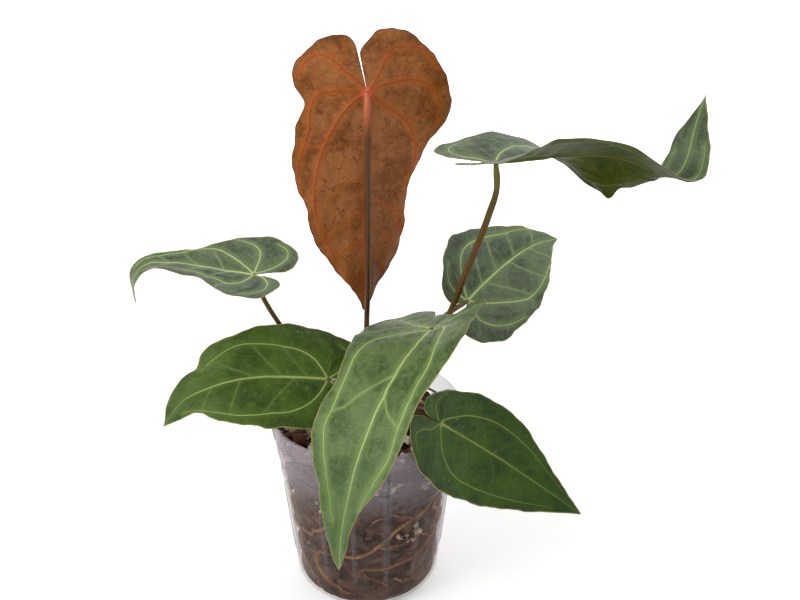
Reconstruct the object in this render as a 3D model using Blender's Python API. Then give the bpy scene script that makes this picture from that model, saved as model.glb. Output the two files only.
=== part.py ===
"""Potted anthurium: seven heart-shaped leaves on long stalks, from a short stem in a clear nursery pot.

Sizes are in millimetres and are turned into metres by MM. +Z is up, the pot's base stands on z = 0 and the
pot's axis is the Z axis. Azimuths are measured from -Y, the front, towards +X, in degrees.
"""
import math

import bpy
import numpy as np

for old in list(bpy.data.objects):
    bpy.data.objects.remove(old, do_unlink=True)

MM = 0.001

# ---------------------------------------------------------------- driving sizes
CLEARANCE = 0.3  # between two pieces that touch on the real plant

POT_HEIGHT = 125.0
POT_RIM_RADIUS = 60.0
POT_BASE_RADIUS = 47.0
POT_WALL = 1.2
POT_FLOOR = 1.6
POT_CORNER = 9.0
RIM_BAND_HEIGHT = 14.0
RIM_BAND_STEP = 1.0
RIM_BEAD = 0.7
RING_DEPTHS = (30.0, 45.0)  # below the rim
RING_STEP = 0.4
RIB_COUNT = 16
RIB_AZIMUTH = 15.0
RIB_HEIGHT = 0.7
DRAIN_COUNT = 8
DRAIN_RADIUS = 1.7
DRAIN_CIRCLE_RADIUS = 30.0

MIX_DEPTH_BELOW_RIM = 13.0
MIX_MOUND = 1.5
ROOT_RADIUS = 1.3

STEM_RADIUS = 6.3
STEM_HEIGHT = 12.0
PETIOLE_RADIUS = 1.85
PETIOLE_BASE_RADIUS = 2.4
PETIOLE_END_RADIUS = 1.7
LEAF_THICKNESS = 0.8
RIM_REACH = 60.0  # the rim radius that the leaves and stalks are set out for

# Every leaf: where its stalk joins, from the middle of the pot's rim, its length from there to the tip, and
# stations along the midrib
# (distance from the stalk, value). heading and pitch steer the midrib, roll lifts the left half, and
# fold_left and fold_right lift each half from the midrib. The margins go from the notch, round the lobe
# to the tip, as (distance along the midrib, distance from it).
LEAVES = {
    "copper": dict(
        junction=(3.5, 2, 198), length=143,
        heading=[(0, 98), (143, 116)], pitch=[(-40, -76), (0, -80), (143, -85)], roll=[(0, -2), (143, -4)],
        fold_left=[(0, 6)], fold_right=[(0, 8)], curl=0.2,
        left=[(-8, 1.9), (-18, 4.1), (-25, 5.4), (-30, 8), (-33, 14), (-32, 21), (-26, 30), (-20, 36), (-11, 40),
              (-4, 40), (2, 37), (6, 34.5), (12, 36), (18, 38), (28, 40), (42, 42), (54, 40), (74, 34), (86, 32),
              (100, 26), (116, 15), (134, 3.5), (143, 0)],
        right=[(-8, -1.5), (-18, -3.1), (-26, -3.2), (-31, 1), (-35, 6), (-36, 13), (-33, 20), (-26, 30), (-14, 40),
               (-2, 47), (12, 52), (20, 53), (26, 52), (31, 47), (38, 40), (49, 35), (58, 30), (68, 28), (84, 27),
               (102, 26), (114, 21), (127, 12), (138, 4), (143, 0)],
    ),
    "upper_right": dict(
        junction=(76, 12, 154), length=158,
        heading=[(0, 0), (86, 0), (100, 26), (116, 48), (158, 40)],
        pitch=[(-40, -6), (0, 4), (30, 10), (58, 4), (78, -18), (92, -30), (104, -4), (117, 50), (158, 64)],
        roll=[(0, 0)],
        fold_left=[(-40, 0), (18, 0), (32, -20), (48, -46), (64, -60), (80, -58), (95, -38), (108, -18),
                   (158, -30)],
        fold_right=[(-40, 16), (10, 24), (50, 33), (76, 32), (98, 12), (158, 8)], curl=-0.1,
        left=[(-14, 3), (-27, 8), (-35, 18), (-30, 29), (-16, 35), (4, 38), (28, 40), (46, 40), (62, 37),
              (76, 33), (90, 25), (106, 18), (134, 10), (158, 0)],
        right=[(-14, 4), (-22, 9), (-24, 18), (-18, 28), (-4, 37), (14, 41), (36, 40), (58, 36), (78, 28),
               (96, 20), (116, 15), (140, 8), (158, 0)],
    ),
    "middle_right": dict(
        junction=(63, 18, 63), length=99,
        heading=[(0, 60), (99, 38)], pitch=[(0, 8), (60, 8), (99, -12)], roll=[(0, 50), (99, 28)],
        fold_left=[(0, 9)], fold_right=[(0, 9)], curl=-0.08,
        left=[(-9, 3), (-15, 8), (-16, 14), (-12, 20), (-4, 27), (6, 33), (18, 36), (32, 34), (46, 28),
              (60, 22), (78, 13), (90, 6), (99, 0)],
        right=[(-10, 3), (-19, 7), (-23, 13), (-20, 20), (-12, 27), (-1, 33), (14, 35), (30, 35), (42, 34),
               (55, 29), (68, 22), (80, 13), (90, 5), (99, 0)],
    ),
    "upper_left": dict(
        junction=(-65, 5, 87), length=92,
        heading=[(0, 172), (70, 200), (92, 212)], pitch=[(0, 3), (35, 12), (62, -12), (76, -75), (92, -100)],
        roll=[(0, -7), (92, -2)], fold_left=[(0, 6)], fold_right=[(0, 7)], curl=0.0,
        left=[(-7, 2), (-14, 4), (-18, 9), (-17, 17), (-13, 26), (-4, 31), (6, 31), (16, 28), (24, 23),
              (34, 18), (44, 17), (56, 13), (75, 8), (92, 0)],
        right=[(-10, 2), (-18, 5), (-23, 13), (-23, 20), (-18, 28), (-8, 34), (5, 37), (18, 30), (30, 20),
               (44, 12), (58, 10), (75, 7), (92, 0)],
    ),
    "lower_left": dict(
        junction=(-22, -15, 27), length=108,
        heading=[(0, 186), (50, 192), (85, 200), (95, 212), (108, 216)],
        pitch=[(0, 10), (40, 2), (70, -16), (86, -26), (93, -42), (108, -48)],
        roll=[(0, -36), (80, -30), (108, -36)],
        fold_left=[(0, 0)], fold_right=[(0, 0), (80, 0), (95, -35), (108, -45)], curl=-0.1,
        left=[(-12, 3), (-20, 8), (-24, 16), (-20, 26), (-8, 32), (8, 33), (26, 33), (42, 33), (58, 29),
              (72, 22), (84, 12), (96, 8), (108, 0)],
        right=[(-12, 3), (-20, 7), (-23, 13), (-20, 21), (-9, 28), (4, 32), (20, 34), (38, 31), (56, 26),
               (68, 22), (76, 14), (80, 15), (92, 12), (100, 7), (108, 0)],
    ),
    "front": dict(
        junction=(40, -24, 66), length=163,
        heading=[(0, -118), (163, -128)], pitch=[(0, 5), (82, -50), (163, -88)],
        roll=[(0, 20), (82, 8), (163, -6)], fold_left=[(0, 5)], fold_right=[(0, 3)], curl=0.08,
        left=[(-12, -3.2), (-24, -8.6), (-25, -4), (-28, 3), (-35, 6.2), (-43, 8.5), (-45, 12), (-39, 18),
              (-20, 23), (4, 29), (20, 33), (36, 32), (52, 28), (70, 26), (86, 26), (100, 22), (114, 15),
              (128, 8), (146, 5), (163, 0)],
        right=[(-12, 4.2), (-24, 10.4), (-33, 15.5), (-33, 21), (-28, 31), (-18, 42), (-4, 47), (12, 46), (28, 42),
               (44, 37), (60, 34), (76, 35), (88, 35), (104, 28), (120, 19), (138, 12), (152, 6), (163, 0)],
    ),
    "lower_right": dict(
        junction=(45, -42, 13), length=116,
        heading=[(0, 32), (60, 2), (116, -14)], pitch=[(0, -42), (64, -38), (116, -33)],
        roll=[(0, 55), (116, 38)], fold_left=[(0, 3)], fold_right=[(0, 0)], curl=-0.08,
        left=[(-8, 0.4), (-13, 0.8), (-17, 3), (-17, 8), (-12, 13), (-4, 19), (8, 24), (20, 28), (38, 30),
              (52, 28), (66, 23), (80, 16), (92, 10), (104, 5), (116, 0)],
        right=[(-9, 0.9), (-18, 1.9), (-24, 5), (-26, 12), (-21, 22), (-12, 31), (2, 36), (18, 37), (34, 35),
               (50, 32), (62, 28), (76, 22), (90, 15), (104, 7), (116, 0)],
    ),
}

# Each stalk has a thickness of its own, leaves the stem at an azimuth and passes these points, from the
# middle of the pot's rim, on its way to the leaf's junction. The copper leaf is the newest, so its stalk rises from the stem's tip.
PETIOLES = {
    "copper": (1.0, None, [(1, 7, 25), (1, 12, 47), (2, 8, 75), (3, 0, 135), (3.5, -3, 175)]),
    "upper_right": (
        1.0, 95, [(22, 4, 14), (52, 5, 63), (59, 5, 84), (67, 9, 104), (73, 11, 122), (77, 12, 137)]
    ),
    "middle_right": (0.85, 130, [(18, 18, 15), (40, 24, 41), (54, 22, 54)]),
    "upper_left": (0.75, 255, [(-20, 9, 1), (-38, 15, 23), (-52, 15, 47), (-61, 10, 69)]),
    "lower_left": (0.85, 305, [(-12, -9, 5), (-18, -13, 18)]),
    "front": (0.9, 62, [(14, -9, 7), (28, -16, 41), (36, -21, 59)]),
    "lower_right": (0.9, 30, [(13, -18, 5), (28, -32, 16), (38, -39, 17)]),
}

# Roots on the inside of the pot's wall, as (azimuth, height) points.
ROOTS = [
    [(62, 76), (47, 71), (38, 68), (21, 62), (10, 51), (-11, 43), (-30, 42)],
    [(-43, 34), (-41, 26), (-36, 20), (-25, 15), (-13, 11)],
    [(88, 47), (70, 46), (54, 40), (37, 35), (14, 33), (-8, 32)],
    [(-84, 42), (-72, 47), (-58, 49), (-41, 54), (-28, 66)],
    [(-160, 84), (-140, 66), (-122, 58), (-104, 44), (-96, 28)],
    [(112, 70), (132, 58), (150, 60), (168, 44), (176, 24)],
]

# Loose pieces on top of the mix, as (distance from the axis, azimuth, length, width, height, turn).
BARK_CHIPS = [
    (46, -58, 13, 8, 5, 20), (40, -92, 12, 9, 5, 75), (30, -52, 11, 7, 4, 130), (44, 60, 12, 8, 5, 40),
    (33, 100, 12, 8, 5, 10), (45, 142, 13, 8, 5, 95), (32, 178, 12, 8, 5, 60), (44, -140, 13, 9, 5, 150),
]
PERLITE_BEADS = [
    (47, -42, 5), (38, -66, 4.5), (49, -78, 5), (28, -80, 4.5), (47, 40, 5), (38, 44, 4.5),
    (48, 86, 5), (30, 138, 4.5), (47, 176, 5), (30, -142, 4.5),
]

# ---------------------------------------------------------------- colours, roughness
LOOKS = {
    "clear_plastic": ((0.62, 0.60, 0.66), 0.35),
    "potting_mix": ((0.12, 0.07, 0.05), 0.9),
    "root": ((0.36, 0.22, 0.11), 0.6),
    "stem_skin": ((0.22, 0.16, 0.07), 0.6),
    "petiole_skin": ((0.20, 0.13, 0.03), 0.45),
    "copper_leaf": ((0.33, 0.12, 0.05), 0.45),
    "green_leaf": ((0.10, 0.24, 0.07), 0.5),
    "bark": ((0.20, 0.07, 0.04), 0.85),
    "perlite": ((0.75, 0.68, 0.56), 0.9),
}


def material(name):
    found = bpy.data.materials.get(name)
    if found:
        return found
    made = bpy.data.materials.new(name)
    made.use_nodes = True
    shader = made.node_tree.nodes["Principled BSDF"]
    color, roughness = LOOKS[name]
    shader.inputs["Base Color"].default_value = (*color, 1.0)
    shader.inputs["Roughness"].default_value = roughness
    shader.inputs["Metallic"].default_value = 0.0
    made.diffuse_color = (*color, 1.0)
    return made


def add_solid(name, points, faces, look, smooth=True):
    """One object from points in millimetres."""
    mesh = bpy.data.meshes.new(name)
    mesh.from_pydata([tuple(MM * float(v) for v in point) for point in points], [], faces)
    mesh.materials.append(material(look))
    mesh.polygons.foreach_set("use_smooth", [smooth] * len(mesh.polygons))
    obj = bpy.data.objects.new(name, mesh)
    bpy.context.scene.collection.objects.link(obj)
    return obj


def through(stations, at):
    """A smooth curve through (place, value) stations, level beyond the first and last."""
    place = np.array([row[0] for row in stations], float)
    value = np.array([row[1:] for row in stations], float)
    at = np.clip(np.asarray(at, float), place[0], place[-1])
    if len(place) == 1:
        return np.repeat(value, len(at), axis=0).squeeze(-1)
    slope = np.gradient(value, place, axis=0)
    i = np.clip(np.searchsorted(place, at, side="right") - 1, 0, len(place) - 2)
    span = (place[i + 1] - place[i])[:, None]
    s = (at - place[i])[:, None] / span
    curve = (
        (2 * s**3 - 3 * s**2 + 1) * value[i]
        + (s**3 - 2 * s**2 + s) * span * slope[i]
        + (3 * s**2 - 2 * s**3) * value[i + 1]
        + (s**3 - s**2) * span * slope[i + 1]
    )
    return curve.squeeze(-1) if curve.shape[1] == 1 else curve


def along(points, count):
    """count points, evenly spread by distance, on the smooth curve through these points."""
    points = np.array(points, float)
    steps = np.linalg.norm(np.diff(points, axis=0), axis=1)
    place = np.concatenate([[0], np.cumsum(steps)])
    return through([(p, *q) for p, q in zip(place, points)], np.linspace(0, place[-1], count))


def from_rim(point):
    """A place given from the middle of the rim. Plan distances grow with the rim, so low leaves clear it."""
    reach = POT_RIM_RADIUS / RIM_REACH
    return np.array([reach * point[0], reach * point[1], POT_HEIGHT + point[2]])


def on_cylinder(radius, azimuth, height):
    a = math.radians(azimuth)
    return (radius * math.sin(a), -radius * math.cos(a), height)


def revolve(name, profile, look, columns):
    """A closed solid from a (radius, height) profile that starts and ends on the axis, bottom to top."""
    ring_rows = profile[1:-1]
    turns = 2 * math.pi * np.arange(columns) / columns
    points = [(r * math.cos(t), r * math.sin(t), z) for r, z in ring_rows for t in turns]
    bottom, top = len(points), len(points) + 1
    points += [(0, 0, profile[0][1]), (0, 0, profile[-1][1])]
    last = (len(ring_rows) - 1) * columns
    faces = []
    for i in range(columns):
        j = (i + 1) % columns
        faces.append((bottom, j, i))
        faces.append((top, last + i, last + j))
        for row in range(0, last, columns):
            faces.append((row + i, row + j, row + columns + j, row + columns + i))
    return add_solid(name, points, faces, look)


def tube(name, path, radii, sides, look):
    """A round rod along a path, with flat ends."""
    path = np.asarray(path)
    ahead = np.gradient(path, axis=0)
    ahead /= np.linalg.norm(ahead, axis=1)[:, None]
    across = np.cross(ahead[0], (0.37, 0.71, 0.60))
    points = []
    for centre, direction, radius in zip(path, ahead, radii):
        across = across - direction * across.dot(direction)
        across /= np.linalg.norm(across)
        other = np.cross(direction, across)
        for k in range(sides):
            turn = 2 * math.pi * k / sides
            points.append(centre + radius * (math.cos(turn) * across + math.sin(turn) * other))
    faces = [tuple(range(sides))[::-1], tuple(len(points) - sides + k for k in range(sides))]
    for row in range(0, len(points) - sides, sides):
        for k in range(sides):
            n = (k + 1) % sides
            faces.append((row + k, row + n, row + sides + n, row + sides + k))
    return add_solid(name, points, faces, look)


# ---------------------------------------------------------------- the pot
RIB_COLUMNS = 5  # columns of mesh from one rib to the next
RIB_TOP = POT_HEIGHT - RING_DEPTHS[-1]


def pot_outer_radius(height):
    """The pot's outside, with no bead or band: a straight taper that rounds into the base."""
    if height >= POT_CORNER:
        share = (height - POT_CORNER) / (POT_HEIGHT - POT_CORNER)
        return POT_BASE_RADIUS + share * (POT_RIM_RADIUS - RIM_BAND_STEP - POT_BASE_RADIUS)
    return POT_BASE_RADIUS - POT_CORNER + math.sqrt(POT_CORNER**2 - (POT_CORNER - height) ** 2)


def pot_inner_radius(height):
    """The pot's inside, clear of every ring step on the wall."""
    return pot_outer_radius(max(height, POT_CORNER)) - POT_WALL - RING_STEP * len(RING_DEPTHS)


def pot_profile():
    """(radius, height, carries ribs) from the base's middle up the outside, over the rim and down inside."""
    rows = [(0.0, 0.0, False), (POT_BASE_RADIUS - POT_CORNER, 0.0, False)]
    for degrees in (30, 60, 90):
        turn = math.radians(degrees)
        out = POT_BASE_RADIUS - POT_CORNER + POT_CORNER * math.sin(turn)
        rows.append((out - RING_STEP * 2, POT_CORNER * (1 - math.cos(turn)), degrees == 90))
    step = RING_STEP * 2
    for depth in reversed(RING_DEPTHS):
        height = POT_HEIGHT - depth
        rows.append((pot_outer_radius(height) - step, height - RING_STEP, depth == RING_DEPTHS[-1]))
        step -= RING_STEP
        rows.append((pot_outer_radius(height) - step, height + RING_STEP, False))
    band = POT_HEIGHT - RIM_BAND_HEIGHT
    rows.append((pot_outer_radius(band), band - RIM_BAND_STEP, False))
    rows.append((pot_outer_radius(band) + RIM_BAND_STEP, band, False))
    rows.append((POT_RIM_RADIUS - RIM_BEAD, POT_HEIGHT - 4 * RIM_BEAD, False))
    rows.append((POT_RIM_RADIUS, POT_HEIGHT - 2 * RIM_BEAD, False))
    rows.append((POT_RIM_RADIUS - RIM_BEAD, POT_HEIGHT, False))
    rows.append((POT_RIM_RADIUS - RIM_BAND_STEP - POT_WALL, POT_HEIGHT, False))
    rows.append((pot_inner_radius(RIB_TOP), RIB_TOP, False))
    rows.append((pot_inner_radius(POT_CORNER), POT_CORNER + POT_FLOOR, False))
    inside_corner = POT_CORNER - POT_WALL
    rows.append((pot_inner_radius(POT_CORNER) - 0.3 * inside_corner, POT_FLOOR + 0.3 * inside_corner, False))
    rows.append((pot_inner_radius(POT_CORNER) - inside_corner, POT_FLOOR, False))
    rows.append((0.0, POT_FLOOR, False))
    return rows


def make_pot():
    rows = pot_profile()
    columns = RIB_COUNT * RIB_COLUMNS
    points = []
    for radius, height, ribbed in rows[1:-1]:
        for column in range(columns):
            raised = RIB_HEIGHT if ribbed and column % RIB_COLUMNS == 0 else 0.0
            points.append(on_cylinder(radius + raised, RIB_AZIMUTH + 360 * column / columns, height))
    bottom, top = len(points), len(points) + 1
    points += [(0, 0, rows[0][1]), (0, 0, rows[-1][1])]
    last = (len(rows) - 3) * columns
    faces = []
    for i in range(columns):
        j = (i + 1) % columns
        faces.append((bottom, j, i))
        faces.append((top, last + i, last + j))
        for row in range(0, last, columns):
            faces.append((row + i, row + j, row + columns + j, row + columns + i))
    pot = add_solid("pot", points, faces, "clear_plastic")
    for k in range(DRAIN_COUNT):
        x, y, _ = on_cylinder(DRAIN_CIRCLE_RADIUS, 360 * (k + 0.5) / DRAIN_COUNT, 0)
        bpy.ops.mesh.primitive_cylinder_add(
            vertices=12, radius=DRAIN_RADIUS * MM, depth=4 * POT_FLOOR * MM,
            location=(x * MM, y * MM, POT_FLOOR * MM / 2),
        )
        cutter = bpy.context.object
        cutter.name = f"drain_cutter_{k + 1}"
        cutter.hide_render = True
        cutter.display_type = "WIRE"
        cut = pot.modifiers.new(f"drain_{k + 1}", "BOOLEAN")
        cut.operation = "DIFFERENCE"
        cut.object = cutter


# ---------------------------------------------------------------- the mix, its loose pieces and the roots
MIX_TOP = POT_HEIGHT - MIX_DEPTH_BELOW_RIM
MIX_COLUMNS = 40
MIX_BOTTOM = POT_FLOOR + CLEARANCE
ROOT_GAP = 2 * ROOT_RADIUS + 2 * CLEARANCE  # between the mix and the pot's wall
ROOT_SHRINK = 0.5  # the flat facets of pot and mix come this much closer than their circles


def mix_top_at(radius):
    edge = pot_inner_radius(MIX_TOP) - ROOT_GAP
    return MIX_TOP + MIX_MOUND * (1 - (radius / edge) ** 2)


def make_mix():
    edge = pot_inner_radius(MIX_TOP) - ROOT_GAP
    foot = pot_inner_radius(POT_CORNER) - ROOT_GAP - ROOT_SHRINK
    profile = [(0, MIX_BOTTOM), (foot - POT_CORNER, MIX_BOTTOM), (foot, MIX_BOTTOM + POT_CORNER)]
    profile += [(edge - ROOT_SHRINK, MIX_TOP)]
    profile += [(edge * share, mix_top_at(edge * share)) for share in (0.75, 0.5, 0.25)]
    profile += [(0, mix_top_at(0))]
    revolve("potting_mix", profile, "potting_mix", MIX_COLUMNS)


def lump(name, centre, size, turn, look, detail, roughen):
    """A rounded, slightly uneven lump with a flat underside, standing at centre."""
    bpy.ops.mesh.primitive_ico_sphere_add(subdivisions=detail, radius=1.0)
    obj = bpy.context.object
    obj.name = name
    obj.data.name = name
    c, s = math.cos(math.radians(turn)), math.sin(math.radians(turn))
    for vertex in obj.data.vertices:
        x, y, z = vertex.co
        swell = 1 - roughen * (0.5 + 0.5 * math.sin(5.1 * x + 3.7 * y * z + turn))
        x, y, z = x * swell * size[0] / 2, y * swell * size[1] / 2, (max(z, -0.6) + 0.6) / 1.6 * size[2]
        vertex.co = [MM * v for v in (centre[0] + c * x - s * y, centre[1] + s * x + c * y, centre[2] + z)]
    obj.data.materials.append(material(look))
    obj.data.polygons.foreach_set("use_smooth", [True] * len(obj.data.polygons))


def make_loose_pieces():
    for i, (distance, azimuth, length, width, height, turn) in enumerate(BARK_CHIPS, 1):
        x, y, _ = on_cylinder(distance, azimuth, 0)
        inner = max(distance - length / 2, 0)
        base = (x, y, mix_top_at(inner) + CLEARANCE)
        lump(f"bark_chip_{i}", base, (length, width, height), turn, "bark", 1, 0.25)
    for i, (distance, azimuth, size) in enumerate(PERLITE_BEADS, 1):
        x, y, _ = on_cylinder(distance, azimuth, 0)
        base = (x, y, mix_top_at(distance - size / 2) + CLEARANCE)
        lump(f"perlite_bead_{i}", base, (size, size, size), 40 * i, "perlite", 1, 0.1)


def make_roots():
    for i, route in enumerate(ROOTS, 1):
        path = []
        for azimuth, height in along(route, 16):
            radius = pot_inner_radius(height) - ROOT_GAP / 2 - ROOT_SHRINK / 2
            path.append(on_cylinder(radius, azimuth, height))
        taper = np.linspace(1, 0.75, len(path)) * ROOT_RADIUS
        tube(f"root_{i}", path, taper, 6, "root")


# ---------------------------------------------------------------- the stem and the leaf stalks
STEM_FOOT = mix_top_at(0) + CLEARANCE
STALK_CIRCLE = STEM_RADIUS + CLEARANCE + PETIOLE_BASE_RADIUS + 0.4
STALK_RISE = 7.0  # each stalk stands upright this far before it leans


def make_stem():
    profile = [(0, STEM_FOOT), (STEM_RADIUS, STEM_FOOT), (STEM_RADIUS, STEM_FOOT + 0.6 * STEM_HEIGHT)]
    profile += [(0.75 * STEM_RADIUS, STEM_FOOT + STEM_HEIGHT), (0, STEM_FOOT + STEM_HEIGHT)]
    revolve("stem", profile, "stem_skin", 20)


def make_petiole(name, sheet):
    thickness, azimuth, waypoints = PETIOLES[name]
    if azimuth is None:
        foot = np.array([0, 0, STEM_FOOT + STEM_HEIGHT + CLEARANCE])
    else:
        foot = np.array(on_cylinder(STALK_CIRCLE, azimuth, mix_top_at(0) + CLEARANCE))
    junction = from_rim(LEAVES[name]["junction"])
    waypoints = [from_rim(point) for point in waypoints]
    normal = sheet.normal(0.0, 0.0)
    arriving = junction - waypoints[-1]
    arriving /= np.linalg.norm(arriving)
    slant = math.sqrt(1 - min(1.0, arriving.dot(normal) ** 2))
    drop = LEAF_THICKNESS / 2 + 2 * CLEARANCE + thickness * PETIOLE_END_RADIUS * slant
    path = along([foot, foot + (0, 0, STALK_RISE), *waypoints, junction - drop * normal], 17)
    path[1, :2] = path[0, :2]
    share = np.linspace(0, 1, len(path))
    stations = [
        (0, PETIOLE_BASE_RADIUS), (0.15, PETIOLE_RADIUS), (0.9, PETIOLE_RADIUS), (1, PETIOLE_END_RADIUS)
    ]
    radii = through(stations, share)
    tube(f"petiole_{name}", path, thickness * radii, 8, "petiole_skin")


# ---------------------------------------------------------------- the leaves
LOBE_REACH = 46.0  # how far behind the stalk the sheet is worked out
MARGIN_POINTS = 15  # on each half
RINGS = 7
STEP = 1.0


class Sheet:
    """A leaf blade's bent surface: flat leaf distances (a ahead of the stalk, w to the left) to points."""

    def __init__(self, leaf):
        a = np.arange(-LOBE_REACH, leaf["length"] + STEP, STEP)
        heading = np.radians(through(leaf["heading"], a))
        pitch = np.radians(through(leaf["pitch"], a))
        roll = np.radians(through(leaf["roll"], a))[:, None]
        ahead = np.stack(
            [np.cos(pitch) * np.cos(heading), np.cos(pitch) * np.sin(heading), np.sin(pitch)], axis=1
        )
        level = np.stack([-np.sin(heading), np.cos(heading), 0 * heading], axis=1)
        left = level * np.cos(roll) + np.cross(ahead, level) * np.sin(roll)
        middle = np.concatenate([[[0, 0, 0]], np.cumsum(STEP * (ahead[1:] + ahead[:-1]) / 2, axis=0)])
        self.a = a
        self.middle = middle - middle[int(round(LOBE_REACH / STEP))] + from_rim(leaf["junction"])
        self.left = left
        self.up = np.cross(ahead, left)
        self.fold = {
            1: np.radians(through(leaf["fold_left"], a)),
            -1: np.radians(through(leaf["fold_right"], a)),
        }
        self.curl = math.radians(leaf["curl"])

    def at(self, a, w):
        """Points for arrays of flat distances."""
        row = [np.stack([np.interp(a, self.a, part[:, k]) for k in range(3)], axis=-1)
               for part in (self.middle, self.left, self.up)]
        middle, left, up = row
        side = np.where(w >= 0, 1, -1)
        fold = np.where(w >= 0, np.interp(a, self.a, self.fold[1]), np.interp(a, self.a, self.fold[-1]))
        half = fold + self.curl * np.abs(w) / 2
        reach = np.abs(w) * np.sinc(self.curl * np.abs(w) / (2 * np.pi))
        out = (side * reach * np.cos(half))[..., None]
        return middle + out * left + (reach * np.sin(half))[..., None] * up

    def normal(self, a, w):
        d = 0.5
        ahead = self.at(np.asarray(a + d), np.asarray(w)) - self.at(np.asarray(a - d), np.asarray(w))
        left = self.at(np.asarray(a), np.asarray(w + d)) - self.at(np.asarray(a), np.asarray(w - d))
        n = np.cross(ahead, left)
        return n / np.linalg.norm(n, axis=-1, keepdims=True)


def make_leaf(name, sheet):
    """A thin closed solid: rays from the stalk to the margin, cut by rings, on both faces of the blade."""
    leaf = LEAVES[name]
    right = along(leaf["right"], MARGIN_POINTS) * (1, -1)
    left = along(leaf["left"], MARGIN_POINTS)[::-1][1:]
    margin = np.concatenate([right, left])
    shares = np.linspace(0, 1, RINGS + 1)[1:]
    flat = np.concatenate([[[0.0, 0.0]]] + [margin * share for share in shares])
    centre = sheet.at(flat[:, 0], flat[:, 1])
    lift = sheet.normal(flat[:, 0], flat[:, 1]) * LEAF_THICKNESS / 2
    points = np.concatenate([centre + lift, centre - lift])
    rays, under = len(margin), len(flat)
    faces = []
    for i in range(rays - 1):
        faces.append((0, 1 + i, 2 + i))
        faces.append((under, under + 2 + i, under + 1 + i))
        for ring in range(RINGS - 1):
            p = 1 + ring * rays + i
            faces.append((p, p + rays, p + rays + 1, p + 1))
            faces.append((under + p, under + p + 1, under + p + rays + 1, under + p + rays))
        rim = 1 + (RINGS - 1) * rays + i
        faces.append((rim, under + rim, under + rim + 1, rim + 1))
    for ray, outward in ((0, True), (rays - 1, False)):
        chain = [0] + [1 + ring * rays + ray for ring in range(RINGS)]
        for p, q in zip(chain, chain[1:]):
            face = (p, under + p, under + q, q)
            faces.append(face if outward else face[::-1])
    look = "copper_leaf" if name == "copper" else "green_leaf"
    add_solid(f"leaf_{name}", points, faces, look)


make_pot()
make_mix()
make_loose_pieces()
make_roots()
make_stem()
for leaf_name, leaf_sizes in LEAVES.items():
    blade = Sheet(leaf_sizes)
    make_leaf(leaf_name, blade)
    make_petiole(leaf_name, blade)
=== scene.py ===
"""Potted anthurium: seven heart-shaped leaves on long stalks over a clear nursery pot of bark and perlite.

Lengths are in millimetres and are turned into metres by MM. Azimuths are measured from -Y towards +X, in
degrees. Lights, camera and floor are placed in metres.
"""
import math

import bmesh
import bpy
import numpy as np
from mathutils import Matrix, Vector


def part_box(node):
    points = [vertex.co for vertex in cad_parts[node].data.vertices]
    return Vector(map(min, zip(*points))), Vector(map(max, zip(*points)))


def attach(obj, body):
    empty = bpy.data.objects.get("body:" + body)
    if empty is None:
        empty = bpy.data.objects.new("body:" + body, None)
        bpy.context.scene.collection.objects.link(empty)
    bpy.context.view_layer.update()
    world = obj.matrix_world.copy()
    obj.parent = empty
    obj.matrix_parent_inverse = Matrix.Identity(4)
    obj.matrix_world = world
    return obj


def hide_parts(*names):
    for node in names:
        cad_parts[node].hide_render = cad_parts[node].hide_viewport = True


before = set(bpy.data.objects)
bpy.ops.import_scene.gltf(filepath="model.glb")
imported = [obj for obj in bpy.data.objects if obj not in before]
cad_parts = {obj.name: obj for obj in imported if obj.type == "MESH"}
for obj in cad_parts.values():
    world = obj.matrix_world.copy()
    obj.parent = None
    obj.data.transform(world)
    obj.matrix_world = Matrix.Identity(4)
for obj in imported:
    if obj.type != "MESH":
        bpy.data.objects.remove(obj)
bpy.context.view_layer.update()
scene = bpy.context.scene

# ---------------------------------------------------------------- camera
# It stands in front of the plant, above its highest leaf, and looks down into the pot.
CAMERA_PLACE = (0.0214, -0.5883, 0.4925)
CAMERA_TILT_DOWN = 26.65
camera_data = bpy.data.cameras.new("camera")
camera_data.lens = 50
camera_data.sensor_width = 36
camera = bpy.data.objects.new("camera", camera_data)
camera.location = CAMERA_PLACE
camera.rotation_euler = (math.radians(90 - CAMERA_TILT_DOWN), 0, 0)
scene.collection.objects.link(camera)
scene.camera = camera

# ---------------------------------------------------------------- the pot
# A tapered nursery pot formed from thin, slightly cloudy clear plastic. It has a wider band below its
# rolled rim, two shallow ring steps, sixteen short upright ribs, one thicker mould seam, and drain holes.
MM = 0.001
pot_high = np.array(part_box("pot")[1]) / MM
POT_HEIGHT = pot_high[2]
POT_RIM_RADIUS = pot_high[0]
POT_BASE_RADIUS = 47.0
POT_WALL = 1.0
POT_FLOOR = 1.6
POT_CORNER = 9.0
RIM_BAND_HEIGHT = 14.0
RIM_BAND_STEP = 1.0
RIM_BEAD = 0.7
RING_HEIGHTS = (POT_HEIGHT - 45, POT_HEIGHT - 30)
RING_STEP = 0.4
WALL_GAP = 0.2  # between the wall and the filling
ROW_STEP = 1.5
RIB_COUNT = 16
RIB_AZIMUTH = 15.0
RIB_HEIGHT = 0.7
RIB_HALF_WIDTH = 1.1
RIB_ENDS = (20.0, 77.0)
SEAM_ENDS = (30.0, 113.0)
SEAM_HALF_WIDTH = 1.8
POT_COLUMNS = 576
DRAIN_COUNT = 8
DRAIN_RADIUS = 1.7
DRAIN_CIRCLE_RADIUS = 30.0
DRILL_LENGTH = 4 * POT_FLOOR


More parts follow.
